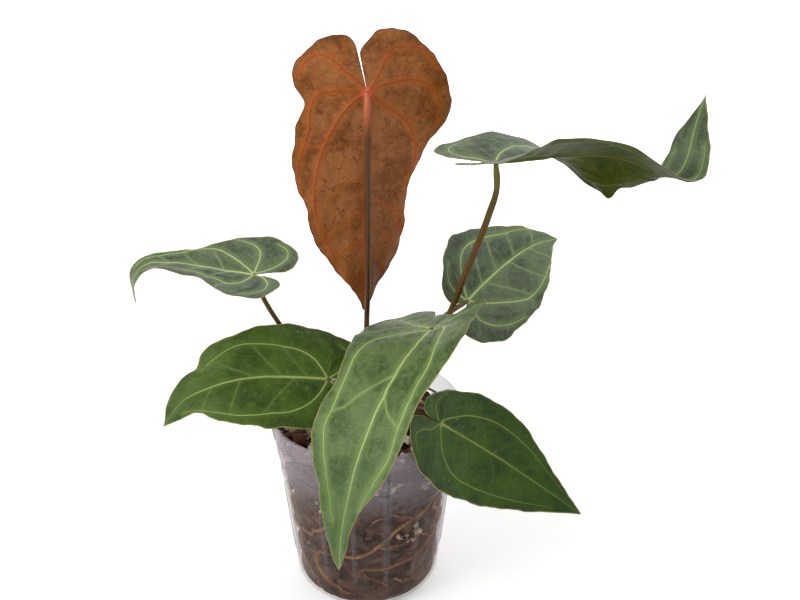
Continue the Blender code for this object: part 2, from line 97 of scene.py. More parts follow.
class Value:
    """A number that varies over a surface: one socket of a shader, with arithmetic."""

    def __init__(self, look, socket):
        self.look = look
        self.socket = socket

    def maths(self, operation, *terms):
        node = self.look.node("ShaderNodeMath", {"operation": operation}, dict(enumerate(terms)))
        return Value(self.look, node.outputs[0])

    def __add__(self, other):
        return self.maths("ADD", self, other)

    def __sub__(self, other):
        return self.maths("SUBTRACT", self, other)

    def __rsub__(self, other):
        return self.maths("SUBTRACT", other, self)

    def __mul__(self, other):
        return self.maths("MULTIPLY", self, other)

    def __pow__(self, other):
        return self.maths("POWER", self, other)

    def __abs__(self):
        return self.maths("ABSOLUTE", self)

    __radd__ = __add__
    __rmul__ = __mul__

    def rise(self, low, high):
        """0 up to low and 1 from high on, smooth between them; low may be the larger."""
        node = self.look.node(
            "ShaderNodeMapRange", {"interpolation_type": "SMOOTHSTEP"},
            {"Value": self, "From Min": low, "From Max": high},
        )
        return Value(self.look, node.outputs["Result"])


class Look:
    """A procedural material: what is the same all over sits on the shader, what varies is linked to it."""

    def __init__(self, name, constants):
        self.material = bpy.data.materials.new(name)
        self.material.use_nodes = True
        self.tree = self.material.node_tree
        self.shader = self.tree.nodes["Principled BSDF"]
        for socket, value in constants.items():
            self.feed(self.shader.inputs[socket], value)

    def feed(self, socket, value):
        if isinstance(value, Value):
            self.tree.links.new(value.socket, socket)
        elif isinstance(value, bpy.types.NodeSocket):
            self.tree.links.new(value, socket)
        elif socket.type == "RGBA" and len(value) == 3:
            socket.default_value = (*value, 1.0)
        else:
            socket.default_value = value

    def node(self, kind, settings, sockets):
        node = self.tree.nodes.new(kind)
        for name, value in settings.items():
            setattr(node, name, value)
        for name, value in sockets.items():
            self.feed(node.inputs[name], value)
        return node

    def stored(self, name):
        """A number kept on the mesh's points."""
        return Value(self, self.node("ShaderNodeAttribute", {"attribute_name": name}, {}).outputs["Fac"])

    def stored_vector(self, name):
        return self.node("ShaderNodeAttribute", {"attribute_name": name}, {}).outputs["Vector"]

    def parts(self, vector):
        node = self.node("ShaderNodeSeparateXYZ", {}, {0: vector})
        return [Value(self, output) for output in node.outputs]

    def place(self):
        return self.node("ShaderNodeTexCoord", {}, {}).outputs["Object"]

    def stretched(self, vector, factors):
        node = self.node("ShaderNodeVectorMath", {"operation": "MULTIPLY"}, {0: vector, 1: factors})
        return node.outputs[0]

    def noise(self, vector, scale, detail=3.0, roughness=0.5):
        sizes = {"Scale": scale, "Detail": detail, "Roughness": roughness}
        return Value(self, self.node("ShaderNodeTexNoise", {}, {"Vector": vector, **sizes}).outputs[0])

    def cells(self, vector, scale, feature="F1"):
        """The distance inside each cell, and a colour that is the same all over it."""
        node = self.node("ShaderNodeTexVoronoi", {"feature": feature}, {"Vector": vector, "Scale": scale})
        return Value(self, node.outputs["Distance"]), node.outputs.get("Color")

    def blend(self, share, start, end):
        node = self.node("ShaderNodeMix", {"data_type": "RGBA"}, {0: share, 6: start, 7: end})
        return node.outputs[2]

    def color(self, value):
        self.feed(self.shader.inputs["Base Color"], value)

    def bump(self, height, distance, strength=1.0):
        node = self.node("ShaderNodeBump", {}, {"Height": height, "Distance": distance, "Strength": strength})
        self.feed(self.shader.inputs["Normal"], node.outputs["Normal"])


def piece(name, points, faces, look, stands_for=(), more_looks=()):
    """One smooth object of the plant, from points in millimetres."""
    mesh = bpy.data.meshes.new(name)
    mesh.from_pydata((np.asarray(points) * MM).tolist(), [], faces)
    for each in (look, *more_looks):
        mesh.materials.append(each.material)
    mesh.polygons.foreach_set("use_smooth", [True] * len(mesh.polygons))
    obj = bpy.data.objects.new(name, mesh)
    scene.collection.objects.link(obj)
    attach(obj, "root")
    if stands_for:
        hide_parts(*stands_for)
    return obj


def store(obj, name, values):
    """Keeps a number, or three, on each point of an object's mesh."""
    values = np.asarray(values, np.float32)
    kind, field = ("FLOAT", "value") if values.ndim == 1 else ("FLOAT_VECTOR", "vector")
    obj.data.attributes.new(name, kind, "POINT").data.foreach_set(field, values.ravel())


def on_cylinder(radius, azimuth, height):
    a = np.radians(azimuth)
    return np.stack(np.broadcast_arrays(radius * np.sin(a), -radius * np.cos(a), height), axis=-1)


def wrapped(rows, columns, closed_ends=True):
    """Faces of a grid of rows of points that each go round an axis, with a middle point at both ends."""
    i = np.arange(columns)
    j = (i + 1) % columns
    faces = []
    for row in range(rows - 1):
        a, b = row * columns, (row + 1) * columns
        faces += np.stack([a + i, a + j, b + j, b + i], axis=1).tolist()
    if closed_ends:
        bottom, top, last = rows * columns, rows * columns + 1, (rows - 1) * columns
        faces += np.stack([np.full(columns, bottom), j, i], axis=1).tolist()
        faces += np.stack([np.full(columns, top), last + i, last + j], axis=1).tolist()
    return faces


def pot_outer_radius(height):
    """The straight taper of the outside, without band or beads, rounded into the base."""
    if height >= POT_CORNER:
        share = (height - POT_CORNER) / (POT_HEIGHT - POT_CORNER)
        return POT_BASE_RADIUS + share * (POT_RIM_RADIUS - RIM_BAND_STEP - POT_BASE_RADIUS)
    return POT_BASE_RADIUS - POT_CORNER + math.sqrt(POT_CORNER**2 - (POT_CORNER - height) ** 2)


def pot_inner_radius(height):
    """How far out the filling can reach, just short of the inside of the wall."""
    if height < POT_CORNER:
        inner = POT_CORNER - POT_WALL
        drop = min(POT_CORNER - height, inner - 0.4)
        return POT_BASE_RADIUS - POT_CORNER + math.sqrt(inner**2 - drop**2) - 2 * RING_STEP - WALL_GAP
    below = sum(0.5 - 0.5 * math.tanh((height - ring) / 0.6) for ring in RING_HEIGHTS)
    return pot_outer_radius(height) - POT_WALL - RING_STEP * below - WALL_GAP


def pot_rows():
    """(radius, height, how much more plastic there is, which also sets a painted dark line of shade at the
    steps) up the outside, over the rim and down the inside.
    """
    rows = [(r, 0.0, 0.2) for r in (12.0, 24.0, 33.0, POT_BASE_RADIUS - POT_CORNER - 0.5)]
    for turn in np.radians(np.linspace(8, 90, 10)):
        out = POT_BASE_RADIUS - POT_CORNER + POT_CORNER * math.sin(turn)
        rows.append((out - 2 * RING_STEP, POT_CORNER * (1 - math.cos(turn)), 0.25))
    band = POT_HEIGHT - RIM_BAND_HEIGHT
    for height in np.arange(POT_CORNER + 2, band - ROW_STEP, ROW_STEP):
        past = sum(0.5 + 0.5 * math.tanh((height - ring) / 0.35) for ring in RING_HEIGHTS)
        near = sum(math.exp(-(((height - ring) / 0.8) ** 2)) for ring in RING_HEIGHTS)
        rows.append((pot_outer_radius(height) - RING_STEP * (2 - past), height, near))
        for ring in RING_HEIGHTS:
            if height < ring < height + ROW_STEP:
                rows.append((pot_outer_radius(ring) - RING_STEP * (2 - past) + 0.05, ring - 0.25, 0.9))
                rows.append((pot_outer_radius(ring) - RING_STEP * (1 - past) - 0.05, ring + 0.25, 0.9))
    under_band = pot_outer_radius(band)
    rows += [(under_band - 0.05, band - 1.2, 0.4), (under_band + 0.3, band - 0.5, 0.9)]
    rows += [(under_band + RIM_BAND_STEP - 0.1, band + 0.1, 0.9)]
    for height in np.arange(band + ROW_STEP, POT_HEIGHT - 3, ROW_STEP):
        rows.append((pot_outer_radius(height) + RIM_BAND_STEP - 0.05, height, 0.15))
    for turn in np.radians(np.arange(-75, 166, 20)):
        out, up = math.cos(turn) - 1, math.sin(turn) - 1
        rows.append((POT_RIM_RADIUS + RIM_BEAD * out, POT_HEIGHT + RIM_BEAD * up, 0.45))
    wall = POT_WALL
    for height in np.arange(POT_HEIGHT - 3, band + 1, -2.0):
        rows.append((pot_outer_radius(height) + RIM_BAND_STEP - wall, height, 0.15))
    rows += [(under_band + 0.2 - wall, band - 0.8, 0.5)]
    for height in np.arange(band - 3, POT_CORNER + POT_FLOOR + 2, -3.0):
        past = sum(0.5 + 0.5 * math.tanh((height - ring) / 0.6) for ring in RING_HEIGHTS)
        rows.append((pot_outer_radius(height) - RING_STEP * (2 - past) - wall, height, 0.0))
    corner = POT_CORNER - wall
    for turn in np.radians(np.linspace(90, 5, 8)):
        out = POT_BASE_RADIUS - POT_CORNER + corner * math.sin(turn) - 2 * RING_STEP
        rows.append((out, POT_FLOOR + corner * (1 - math.cos(turn)), 0.1))
    return rows + [(r, POT_FLOOR, 0.1) for r in (30.0, 20.0, 10.0)]


def rib_profile(height, ends):
    low, high = ends
    return np.clip(min((height - low) / 6, (high - height) / 2.5), 0, 1)


rows = pot_rows()
azimuths = 360 * np.arange(POT_COLUMNS) / POT_COLUMNS
from_rib = (azimuths - RIB_AZIMUTH + 180 / RIB_COUNT) % (360 / RIB_COUNT) - 180 / RIB_COUNT
from_seam = (azimuths - RIB_AZIMUTH + 180) % 360 - 180
outside_rows = max(
    i for i, (radius, height, _) in enumerate(rows)
    if height > POT_HEIGHT - 2 * RIM_BEAD - 2 and radius > POT_RIM_RADIUS - 1
)
points, thick_and_shade, ribbed = [], [], []
for i, (radius, height, more) in enumerate(rows):
    arc = np.radians(1) * radius
    rib = np.exp(-((from_rib * arc / RIB_HALF_WIDTH) ** 2)) * rib_profile(height, RIB_ENDS)
    seam = np.exp(-((from_seam * arc / SEAM_HALF_WIDTH) ** 2)) * rib_profile(height, SEAM_ENDS)
    raised = np.maximum(rib, seam) if i < outside_rows else 0 * rib
    points.append(on_cylinder(radius + RIB_HEIGHT * raised, azimuths, height))
    thick_and_shade.append(np.full(POT_COLUMNS, more))
    ribbed.append(raised)
points.append([[0, 0, 0.6], [0, 0, POT_FLOOR]])
thick_and_shade.append([0.2, 0.1])
ribbed.append([0.0, 0.0])

plastic = Look("cloudy_clear_plastic", {"Roughness": 0.24, "IOR": 1.46, "Specular IOR Level": 0.12})
plastic_place = plastic.place()
plastic_height = plastic.parts(plastic_place)[2]
plastic_facing = Value(plastic, plastic.node("ShaderNodeLayerWeight", {}, {"Blend": 0.5}).outputs["Facing"])
plastic_cloud = plastic.noise(plastic_place, 38, 4.0, 0.55)
plastic_scuffs = plastic.noise(plastic.stretched(plastic_place, (1, 1, 0.12)), 420, 2.0)
plastic_thick_and_shade = plastic.stored("thick_and_shade")
upper_wall = plastic_height.rise(0.070, 0.100)
step_haze_and_shade = plastic_thick_and_shade.rise(0.35, 0.95)
rib_haze_and_shade = plastic.stored("ribbed")
free_wall = plastic_height.rise(0.109, 0.115)
plastic_haze = 0.05 + 0.14 * upper_wall + 0.10 * free_wall + 0.10 * (plastic_cloud - 0.5)
plastic_haze = plastic_haze + 0.8 * step_haze_and_shade + 0.5 * rib_haze_and_shade
plastic.feed(plastic.shader.inputs["Alpha"], plastic_haze + 0.5 * plastic_facing**4)
# Painted light and shade: the wall is painted darker and browner low down, where the mix lies behind it, and
# paler lavender towards the rim, where light comes through.
plastic_color = plastic.blend(upper_wall, (0.33, 0.25, 0.21), (0.46, 0.40, 0.44))
# Painted shade: the wall is darker where it is seen edge-on, along the pot's outline.
plastic_color = plastic.blend(plastic_facing.rise(0.75, 0.98), plastic_color, (0.20, 0.14, 0.17))
# Painted shade: the ribs and the seam are painted darker, over their extra haze.
plastic_color = plastic.blend(rib_haze_and_shade, plastic_color, (0.10, 0.09, 0.11))
# Painted shade: a near-black line along the ring steps and the step under the rim band, over their extra
# haze.
plastic.color(plastic.blend(step_haze_and_shade, plastic_color, (0.03, 0.025, 0.03)))
plastic.feed(plastic.shader.inputs["Roughness"], 0.2 + 0.25 * plastic_scuffs)
plastic.bump(plastic_scuffs + plastic_cloud, 0.0003, 0.35)

pot_faces = wrapped(len(rows), POT_COLUMNS)
pot = piece("clear_pot", np.concatenate(points), pot_faces, plastic, ["pot"])
store(pot, "thick_and_shade", np.concatenate(thick_and_shade))
store(pot, "ribbed", np.concatenate(ribbed))

# The drain holes are cut right through the floor.
drill_form = bmesh.new()
for turn in range(DRAIN_COUNT):
    spot = on_cylinder(DRAIN_CIRCLE_RADIUS, 360 * (turn + 0.5) / DRAIN_COUNT, POT_FLOOR / 2) * MM
    bmesh.ops.create_cone(
        drill_form, cap_ends=True, segments=32, radius1=DRAIN_RADIUS * MM, radius2=DRAIN_RADIUS * MM,
        depth=DRILL_LENGTH * MM, matrix=Matrix.Translation(spot),
    )
drill_mesh = bpy.data.meshes.new("drain_drills")
drill_form.to_mesh(drill_mesh)
drill_form.free()
drills = bpy.data.objects.new("drain_drills", drill_mesh)
scene.collection.objects.link(drills)
drill = pot.modifiers.new("drain", "BOOLEAN")
drill.operation = "DIFFERENCE"
drill.solver = "EXACT"
drill.object = drills
drilled = bpy.data.meshes.new_from_object(pot.evaluated_get(bpy.context.evaluated_depsgraph_get()))
pot.modifiers.clear()
pot.data = drilled
bpy.data.objects.remove(drills)
bpy.data.meshes.remove(drill_mesh)

# ---------------------------------------------------------------- the potting mix
# Chunky orchid mix: pine bark, coir fibre and perlite, pressed loosely against the wall and mounded a
# little in the middle. The body is one lumpy mass, and the pieces that show are set into its surface.
MIX_DEPTH_BELOW_RIM = 13.0
MIX_TOP = POT_HEIGHT - MIX_DEPTH_BELOW_RIM
MIX_MOUND = 1.5
MIX_COLUMNS = 200
CHIP_COLORS = ((0.040, 0.022, 0.016), (0.26, 0.085, 0.040))
WALL_CHIPS = 430
BEAD_CLUSTERS = 30
HIGH_CLUSTERS = 26  # of these clusters, those near the top of the mix
WALL_FIBRES = 420
TOP_CHIPS = 330
TOP_CHIP_REACH = 54
TOP_BEADS = 190
TOP_BEAD_REACH = 55


def ico_points(detail):
    """A unit ball's points and triangles."""
    ball = bmesh.new()
    bmesh.ops.create_icosphere(ball, subdivisions=detail, radius=1.0)
    points = np.array([vertex.co[:] for vertex in ball.verts])
    faces = np.array([[vertex.index for vertex in face.verts] for face in ball.faces])
    ball.free()
    return points, faces


def waves(points, seed, count=5, pitch=1.0):
    """Smooth bumps between about -1 and 1, the same for the same seed."""
    rng = np.random.default_rng(seed)
    total = np.zeros(len(points))
    for _ in range(count):
        direction = rng.normal(size=3)
        total += np.sin(points @ (direction * pitch) + rng.uniform(0, 2 * math.pi))
    return total / math.sqrt(count)


def turned(points, rng, tilt):
    """Points turned freely about Z, then tipped by up to tilt radians."""
    a, b, c = rng.uniform(0, 2 * math.pi), rng.uniform(-tilt, tilt), rng.uniform(-tilt, tilt)
    spin = np.array([[math.cos(a), -math.sin(a), 0], [math.sin(a), math.cos(a), 0], [0, 0, 1]])
    tip = np.array([[math.cos(b), 0, math.sin(b)], [0, 1, 0], [-math.sin(b), 0, math.cos(b)]])
    lean = np.array([[1, 0, 0], [0, math.cos(c), -math.sin(c)], [0, math.sin(c), math.cos(c)]])
    return points @ spin.T @ tip.T @ lean.T


def chip_shape(ball, size, rng):
    """A bark chip: a flat block with broken corners and split, layered sides."""
    boxy = np.sign(ball) * np.abs(ball) ** 0.55
    rough = 1 + 0.16 * waves(ball, rng.integers(1 << 30), 6, 2.6)
    layers = 1 + 0.05 * np.sin(ball[:, 2:] * 11 + rng.uniform(0, 6))
    return boxy * rough[:, None] * layers * np.array(size) / 2


def bead_shape(ball, size, rng):
    """A perlite bead: a knobbly popped ball."""
    rough = 1 + 0.14 * waves(ball, rng.integers(1 << 30), 7, 2.8)
    rough += 0.05 * waves(ball, rng.integers(1 << 30), 7, 7)
    return ball * rough[:, None] * np.array(size) / 2


def heap(name, lumps, faces_of_one, look):
    """Many lumps as one piece, each with its own tone from 0 to 1."""
    points = np.concatenate([lump for lump, _ in lumps])
    size = len(lumps[0][0])
    faces = np.concatenate([faces_of_one + size * i for i in range(len(lumps))]).tolist()
    obj = piece(name, points, faces, look)
    store(obj, "tone", np.repeat([tone for _, tone in lumps], size))
    return obj


def held_inside(points, gap):
    """Points kept a little inside the pot's wall, as if pressed against it."""
    radius = np.maximum(np.hypot(points[:, 0], points[:, 1]), 1e-6)
    limit = np.array([pot_inner_radius(h) for h in points[:, 2]]) - gap
    squeeze = np.minimum(1, limit / radius)
    kept = points * np.stack([squeeze, squeeze, np.ones(len(points))], axis=1)
    kept[:, 2] = np.maximum(kept[:, 2], POT_FLOOR + 0.3)
    return kept


def mix_top_at(radius):
    edge = pot_inner_radius(MIX_TOP) - 2.2
    return MIX_TOP + MIX_MOUND * (1 - (radius / edge) ** 2)


soil = Look("dark_mix", {"Roughness": 0.95, "Specular IOR Level": 0.25})
soil_place = soil.place()
soil_grain = soil.noise(soil_place, 420, 5.0, 0.7)
soil_patch = soil.noise(soil_place, 70, 3.0)
soil_color = soil.blend(soil_patch.rise(0.35, 0.65), (0.022, 0.013, 0.010), (0.075, 0.042, 0.028))
soil.color(soil.blend(soil_grain.rise(0.70, 0.82), soil_color, (0.15, 0.09, 0.05)))
soil.bump(soil_grain, 0.0015, 0.9)

bark = Look("bark_chips", {"Roughness": 0.8, "Specular IOR Level": 0.3})
bark_place = bark.place()
bark_tone = bark.stored("tone")
bark_grain = bark.noise(bark.stretched(bark_place, (1, 1, 4)), 320, 5.0, 0.65)
bark_patch = bark.noise(bark_place, 120, 3.0)
bark_color = bark.blend(bark_tone, *CHIP_COLORS)
bark_color = bark.blend(0.55 * bark_patch.rise(0.45, 0.7), bark_color, (0.012, 0.007, 0.006))
bark.color(bark.blend(0.5 * bark_grain.rise(0.58, 0.8), bark_color, (0.33, 0.17, 0.10)))
bark.feed(bark.shader.inputs["Roughness"], 0.55 + 0.4 * bark_grain)
bark.bump(bark_grain, 0.0012, 0.8)

perlite = Look("perlite_beads", {"Roughness": 0.9, "Specular IOR Level": 0.3})
perlite_place = perlite.place()
perlite_tone = perlite.stored("tone")
perlite_pores = perlite.cells(perlite_place, 1300)[0]
perlite_dust = perlite.noise(perlite_place, 500, 4.0, 0.7)
perlite_color = perlite.blend(perlite_tone, (0.34, 0.25, 0.15), (0.80, 0.73, 0.60))
perlite.color(perlite.blend(0.75 * perlite_dust.rise(0.55, 0.75), perlite_color, (0.30, 0.19, 0.11)))
perlite.bump(perlite_pores, 0.0006, 0.7)

heights = np.concatenate([np.full(3, 2.0), np.linspace(2.2, 9, 12), np.linspace(12, MIX_TOP - 2, 58)])
radii = np.concatenate([
    [14, 26, 34],
    [pot_inner_radius(h) - 0.8 for h in heights[3:15]],
    [pot_inner_radius(h) - 4.5 + 3.7 * max(0, 1 - (h - 9) / 9) for h in heights[15:]],
])
top_radii = (pot_inner_radius(MIX_TOP) - 5.5) * np.linspace(1, 0.04, 34)
grid = [on_cylinder(r, 360 * np.arange(MIX_COLUMNS) / MIX_COLUMNS, h) for r, h in zip(radii, heights)]
grid += [on_cylinder(r, 360 * np.arange(MIX_COLUMNS) / MIX_COLUMNS, mix_top_at(r) - 1.2) for r in top_radii]
grid = np.concatenate(grid)
lumpy = 0.9 * waves(grid, 11, 7, 0.55) + 0.5 * waves(grid, 12, 7, 1.4)
away = grid - [0, 0, 60]
away /= np.linalg.norm(away, axis=1)[:, None]
grid = held_inside(grid + away * lumpy[:, None], np.where(grid[:, 2] < 14, 0.7, 2.4))
grid = np.concatenate([grid, [[0, 0, 2.0], [0, 0, mix_top_at(0) - 1.2]]])
mix_faces = wrapped(len(radii) + len(top_radii), MIX_COLUMNS)
piece("mix_body", grid, mix_faces, soil, ["potting_mix"])

rng = np.random.default_rng(3)
fine_ball, fine_faces = ico_points(4)
ball, ball_faces = ico_points(3)
small_ball, small_faces = ico_points(2)
wall_chips, wall_beads, wall_specks, top_chips, top_beads = [], [], [], [], []
for _ in range(WALL_CHIPS):
    height, azimuth = rng.uniform(4, MIX_TOP - 3), rng.uniform(0, 360)
    size = np.array([rng.uniform(7, 17), rng.uniform(4, 8), rng.uniform(3, 7)])
    centre = on_cylinder(pot_inner_radius(height) - rng.uniform(3.0, 5.5), azimuth, height)
    lump = turned(chip_shape(ball, size, rng), rng, 1.2) + centre
    wall_chips.append((held_inside(lump, 1.3), rng.uniform(0, 0.5) ** 1.5))
for cluster in range(BEAD_CLUSTERS):
    lowest, highest = (94, MIX_TOP - 4) if cluster < HIGH_CLUSTERS else (10, 90)
    middle = (rng.uniform(0, 360), rng.uniform(lowest, highest))
    for _ in range(rng.integers(7, 15)):
        azimuth, height = middle[0] + rng.normal(0, 5), min(middle[1] + rng.normal(0, 3.2), MIX_TOP - 1)
        lump = turned(bead_shape(small_ball, rng.uniform(1.6, 4.6, 3), rng), rng, 3)
        lump = lump + on_cylinder(pot_inner_radius(height) - rng.uniform(0.9, 2.4), azimuth, height)
        wall_beads.append((held_inside(lump, 0.25), rng.uniform(0.0, 0.5)))
for _ in range(WALL_FIBRES):
    height = rng.uniform(4, MIX_TOP - 2)
    lump = turned(chip_shape(small_ball, rng.uniform((0.8, 0.4, 0.3), (3.0, 1.2, 0.8)), rng), rng, 3)
    lump = lump + on_cylinder(pot_inner_radius(height) - 1.0, rng.uniform(0, 360), height)
    wall_specks.append((held_inside(lump, 0.5), rng.uniform(0.1, 1)))
for _ in range(TOP_CHIPS):
    radius, azimuth = TOP_CHIP_REACH * math.sqrt(rng.uniform(0.02, 1)), rng.uniform(0, 360)
    size = np.array([rng.uniform(4, 12), rng.uniform(3, 7), rng.uniform(2, 4.5)])
    centre = on_cylinder(radius, azimuth, mix_top_at(radius) + rng.uniform(-2.2, 1.2))
    lump = turned(chip_shape(ball, size, rng), rng, 0.5) + centre
    top_chips.append((held_inside(lump, 0.6), rng.uniform(0.05, 1) ** 1.6))
for _ in range(TOP_BEADS):
    radius, azimuth = TOP_BEAD_REACH * math.sqrt(rng.uniform(0.02, 1)), rng.uniform(0, 360)
    diameter = rng.uniform(2.2, 4.6)
    centre = on_cylinder(radius, azimuth, mix_top_at(radius) + 1.0 + rng.uniform(-1.2, 1.8))
    lump = turned(bead_shape(ball, diameter * rng.uniform(0.85, 1.15, 3), rng), rng, 3) + centre
    top_beads.append((held_inside(lump, 0.6), rng.uniform(0.35, 1)))
heap("wall_bark", wall_chips, ball_faces, bark)
heap("wall_perlite", wall_beads, small_faces, perlite)
heap("wall_fibres", wall_specks, small_faces, bark)
heap("top_bark", top_chips, ball_faces, bark)
heap("top_perlite", top_beads, ball_faces, perlite)

# ---------------------------------------------------------------- the loose pieces on top
# The larger bark chips and perlite beads that lie free on the surface, each a piece of its own.
for i in range(1, 9):
    low, high = (np.array(corner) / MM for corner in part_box(f"bark_chip_{i}"))
    lump = chip_shape(fine_ball, (high - low) * (0.98, 0.9, 1.0), rng)
    lump += (low + high) / 2
    chip = piece(f"loose_bark_{i}", lump, fine_faces.tolist(), bark, [f"bark_chip_{i}"])
    store(chip, "tone", np.full(len(lump), 0.35 + 0.09 * (i * 3 % 8)))
for i in range(1, 11):
    low, high = (np.array(corner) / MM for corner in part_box(f"perlite_bead_{i}"))
    lump = bead_shape(fine_ball, (high - low) * (1, 1, 0.95), rng) + (low + high) / 2
    bead = piece(f"loose_perlite_{i}", lump, fine_faces.tolist(), perlite, [f"perlite_bead_{i}"])
    store(bead, "tone", np.full(len(lump), 0.6 + 0.4 * (i * 7 % 10) / 10))

# ---------------------------------------------------------------- the roots
# Fleshy tan roots that have reached the wall and run round it, with thin side roots.
ROOTS = [
    [(62, 76), (47, 71), (38, 68), (21, 62), (10, 51), (-11, 43), (-30, 42)],
    [(-43, 34), (-41, 26), (-36, 20), (-25, 15), (-13, 11)],
    [(88, 47), (70, 46), (54, 40), (37, 35), (14, 33), (-8, 32)],
    [(-84, 42), (-72, 47), (-58, 49), (-41, 54), (-28, 66)],
    [(-160, 84), (-140, 66), (-122, 58), (-104, 44), (-96, 28)],
    [(112, 70), (132, 58), (150, 60), (168, 44), (176, 24)],
]
ROOT_RADIUS = 1.3
ROOT_RINGS = 90
SIDE_ROOT_RINGS = 50
ROOT_SIDES = 14
SIDE_ROOTS = [
    (0.8, [(-30, 42), (-38, 40), (-43, 34)]),
    (0.7, [(38, 68), (30, 72), (16, 76), (2, 70)]),
    (0.8, [(66, 47), (58, 52), (66, 58), (58, 66), (60, 76)]),
    (0.7, [(10, 51), (24, 50), (40, 52), (52, 49)]),
    (0.6, [(-5, 33), (2, 26), (12, 22), (18, 16)]),
    (0.8, [(24, 22), (30, 18), (38, 17), (44, 15)]),
    (0.6, [(-72, 47), (-66, 56), (-70, 66), (-62, 76)]),
    (0.5, [(-58, 49), (-50, 42), (-46, 44)]),
    (0.9, [(98, 30), (116, 22), (130, 26), (150, 18)]),
    (0.8, [(-150, 30), (-132, 22), (-118, 24), (-100, 14)]),
    (0.7, [(170, 70), (186, 62), (200, 66), (214, 50)]),
    (0.6, [(120, 92), (134, 84), (150, 88), (160, 78)]),
    (0.6, [(-90, 88), (-104, 80), (-116, 84), (-130, 72)]),
    (0.7, [(66, 24), (76, 16), (90, 18), (104, 10)]),
    (0.5, [(-60, 26), (-52, 18), (-44, 14), (-40, 8)]),
]


def through(stations, at):
    """A smooth curve through (place, value) stations, level beyond the first and last."""
    place = np.array([row[0] for row in stations], float)
    value = np.array([row[1:] for row in stations], float)
    at = np.clip(np.asarray(at, float), place[0], place[-1])
    if len(place) == 1:
        return np.repeat(value, len(at), axis=0).squeeze(-1)
    slope = np.gradient(value, place, axis=0)
    i = np.clip(np.searchsorted(place, at, side="right") - 1, 0, len(place) - 2)
    span = (place[i + 1] - place[i])[:, None]
    s = (at - place[i])[:, None] / span
    curve = (
        (2 * s**3 - 3 * s**2 + 1) * value[i]
        + (s**3 - 2 * s**2 + s) * span * slope[i]
        + (3 * s**2 - 2 * s**3) * value[i + 1]
        + (s**3 - s**2) * span * slope[i + 1]
    )
    return curve.squeeze(-1) if curve.shape[1] == 1 else curve


def along(points, count):
    """count points, evenly spread by distance, on the smooth curve through these points."""
    points = np.array(points, float)
    steps = np.linalg.norm(np.diff(points, axis=0), axis=1)
    place = np.concatenate([[0], np.cumsum(steps)])
    return through([(p, *q) for p, q in zip(place, points)], np.linspace(0, place[-1], count))


def rod(path, radii, sides, shape=None):
    """Points and faces of a rod along a path; shape swells it by (share along, turn) to a factor."""
    path = np.asarray(path, float)
    ahead = np.gradient(path, axis=0)
    ahead /= np.linalg.norm(ahead, axis=1)[:, None]
    across = np.cross(ahead[0], (0.37, 0.71, 0.60))
    turns = 2 * math.pi * np.arange(sides) / sides
    rings = []
    for n, (centre, direction, radius) in enumerate(zip(path, ahead, radii)):
        across = across - direction * across.dot(direction)
        across /= np.linalg.norm(across)
        other = np.cross(direction, across)
        swell = np.ones(sides) if shape is None else shape(n / (len(path) - 1), turns)
        around = np.cos(turns)[:, None] * across + np.sin(turns)[:, None] * other
        rings.append(centre + (radius * swell)[:, None] * around)
    start = path[0] - ahead[0] * radii[0] * 0.4
    end = path[-1] + ahead[-1] * radii[-1] * 0.4
    return np.concatenate([*rings, [start, end]]), wrapped(len(path), sides)


root_look = Look("root_skin", {"Roughness": 0.6, "Specular IOR Level": 0.35})
root_place = root_look.place()
root_patch = root_look.noise(root_place, 90, 4.0, 0.6)
root_grain = root_look.noise(root_place, 900, 3.0)
root_color = root_look.blend(root_patch.rise(0.35, 0.65), (0.095, 0.036, 0.007), (0.29, 0.125, 0.030))
root_look.color(root_look.blend(0.6 * root_grain.rise(0.6, 0.8), root_color, (0.10, 0.045, 0.02)))
root_look.bump(root_grain, 0.0004, 0.6)

all_roots = [(ROOT_RADIUS, route, f"root_{i}") for i, route in enumerate(ROOTS, 1)]
all_roots += [(size, route, None) for size, route in SIDE_ROOTS]
for number, (size, route, node) in enumerate(all_roots):
    count = ROOT_RINGS if node else SIDE_ROOT_RINGS
    wander = along(route, count)
    s = np.linspace(0, 1, count)
    wander[:, 0] += 0.8 * np.sin(19 * s + number) + 0.5 * np.sin(41 * s + 2 * number)
    wander[:, 1] += 0.7 * np.sin(23 * s + 3 * number)
    thickness = size * (1 - 0.25 * s) * (1 + 0.10 * np.sin(37 * s + number) + 0.06 * np.sin(71 * s))
    thickness[-6:] *= np.linspace(1, 0.35, 6)
    depth = np.array([pot_inner_radius(h) for h in wander[:, 1]]) - 0.1 - thickness
    path = on_cylinder(depth, wander[:, 0], wander[:, 1])
    points, faces = rod(path, thickness, ROOT_SIDES)
    name = f"wall_{node}" if node else f"side_root_{number - len(ROOTS) + 1}"
    piece(name, points, faces, root_look, [node] if node else ())

# ---------------------------------------------------------------- the stem
# A short, thick stem with rings of old leaf scars and a few brown papery sheaths left round it.
stem_low, stem_high = (np.array(corner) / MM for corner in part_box("stem"))
STEM_RADIUS = stem_high[0]
STEM_TOP = stem_high[2]
SHEATHS = [(20, 15, 9), (95, 18, 8), (170, 13, 9), (235, 17, 8), (310, 14, 10)]  # azimuth, height, width
STEM_RINGS = 34
STEM_SIDES = 40
SHEATH_COLUMNS = 17
SHEATH_ROWS = 21

skin = Look("stem_skin", {"Roughness": 0.65, "Specular IOR Level": 0.35})
skin_place = skin.place()
skin_patch = skin.noise(skin_place, 160, 4.0, 0.6)
skin_grain = skin.noise(skin.stretched(skin_place, (1, 1, 0.2)), 900, 3.0)
skin_color = skin.blend(skin_patch.rise(0.35, 0.65), (0.10, 0.075, 0.022), (0.22, 0.15, 0.055))
skin.color(skin.blend(0.6 * skin_grain.rise(0.55, 0.75), skin_color, (0.07, 0.035, 0.015)))
skin.bump(skin_grain, 0.0005, 0.7)

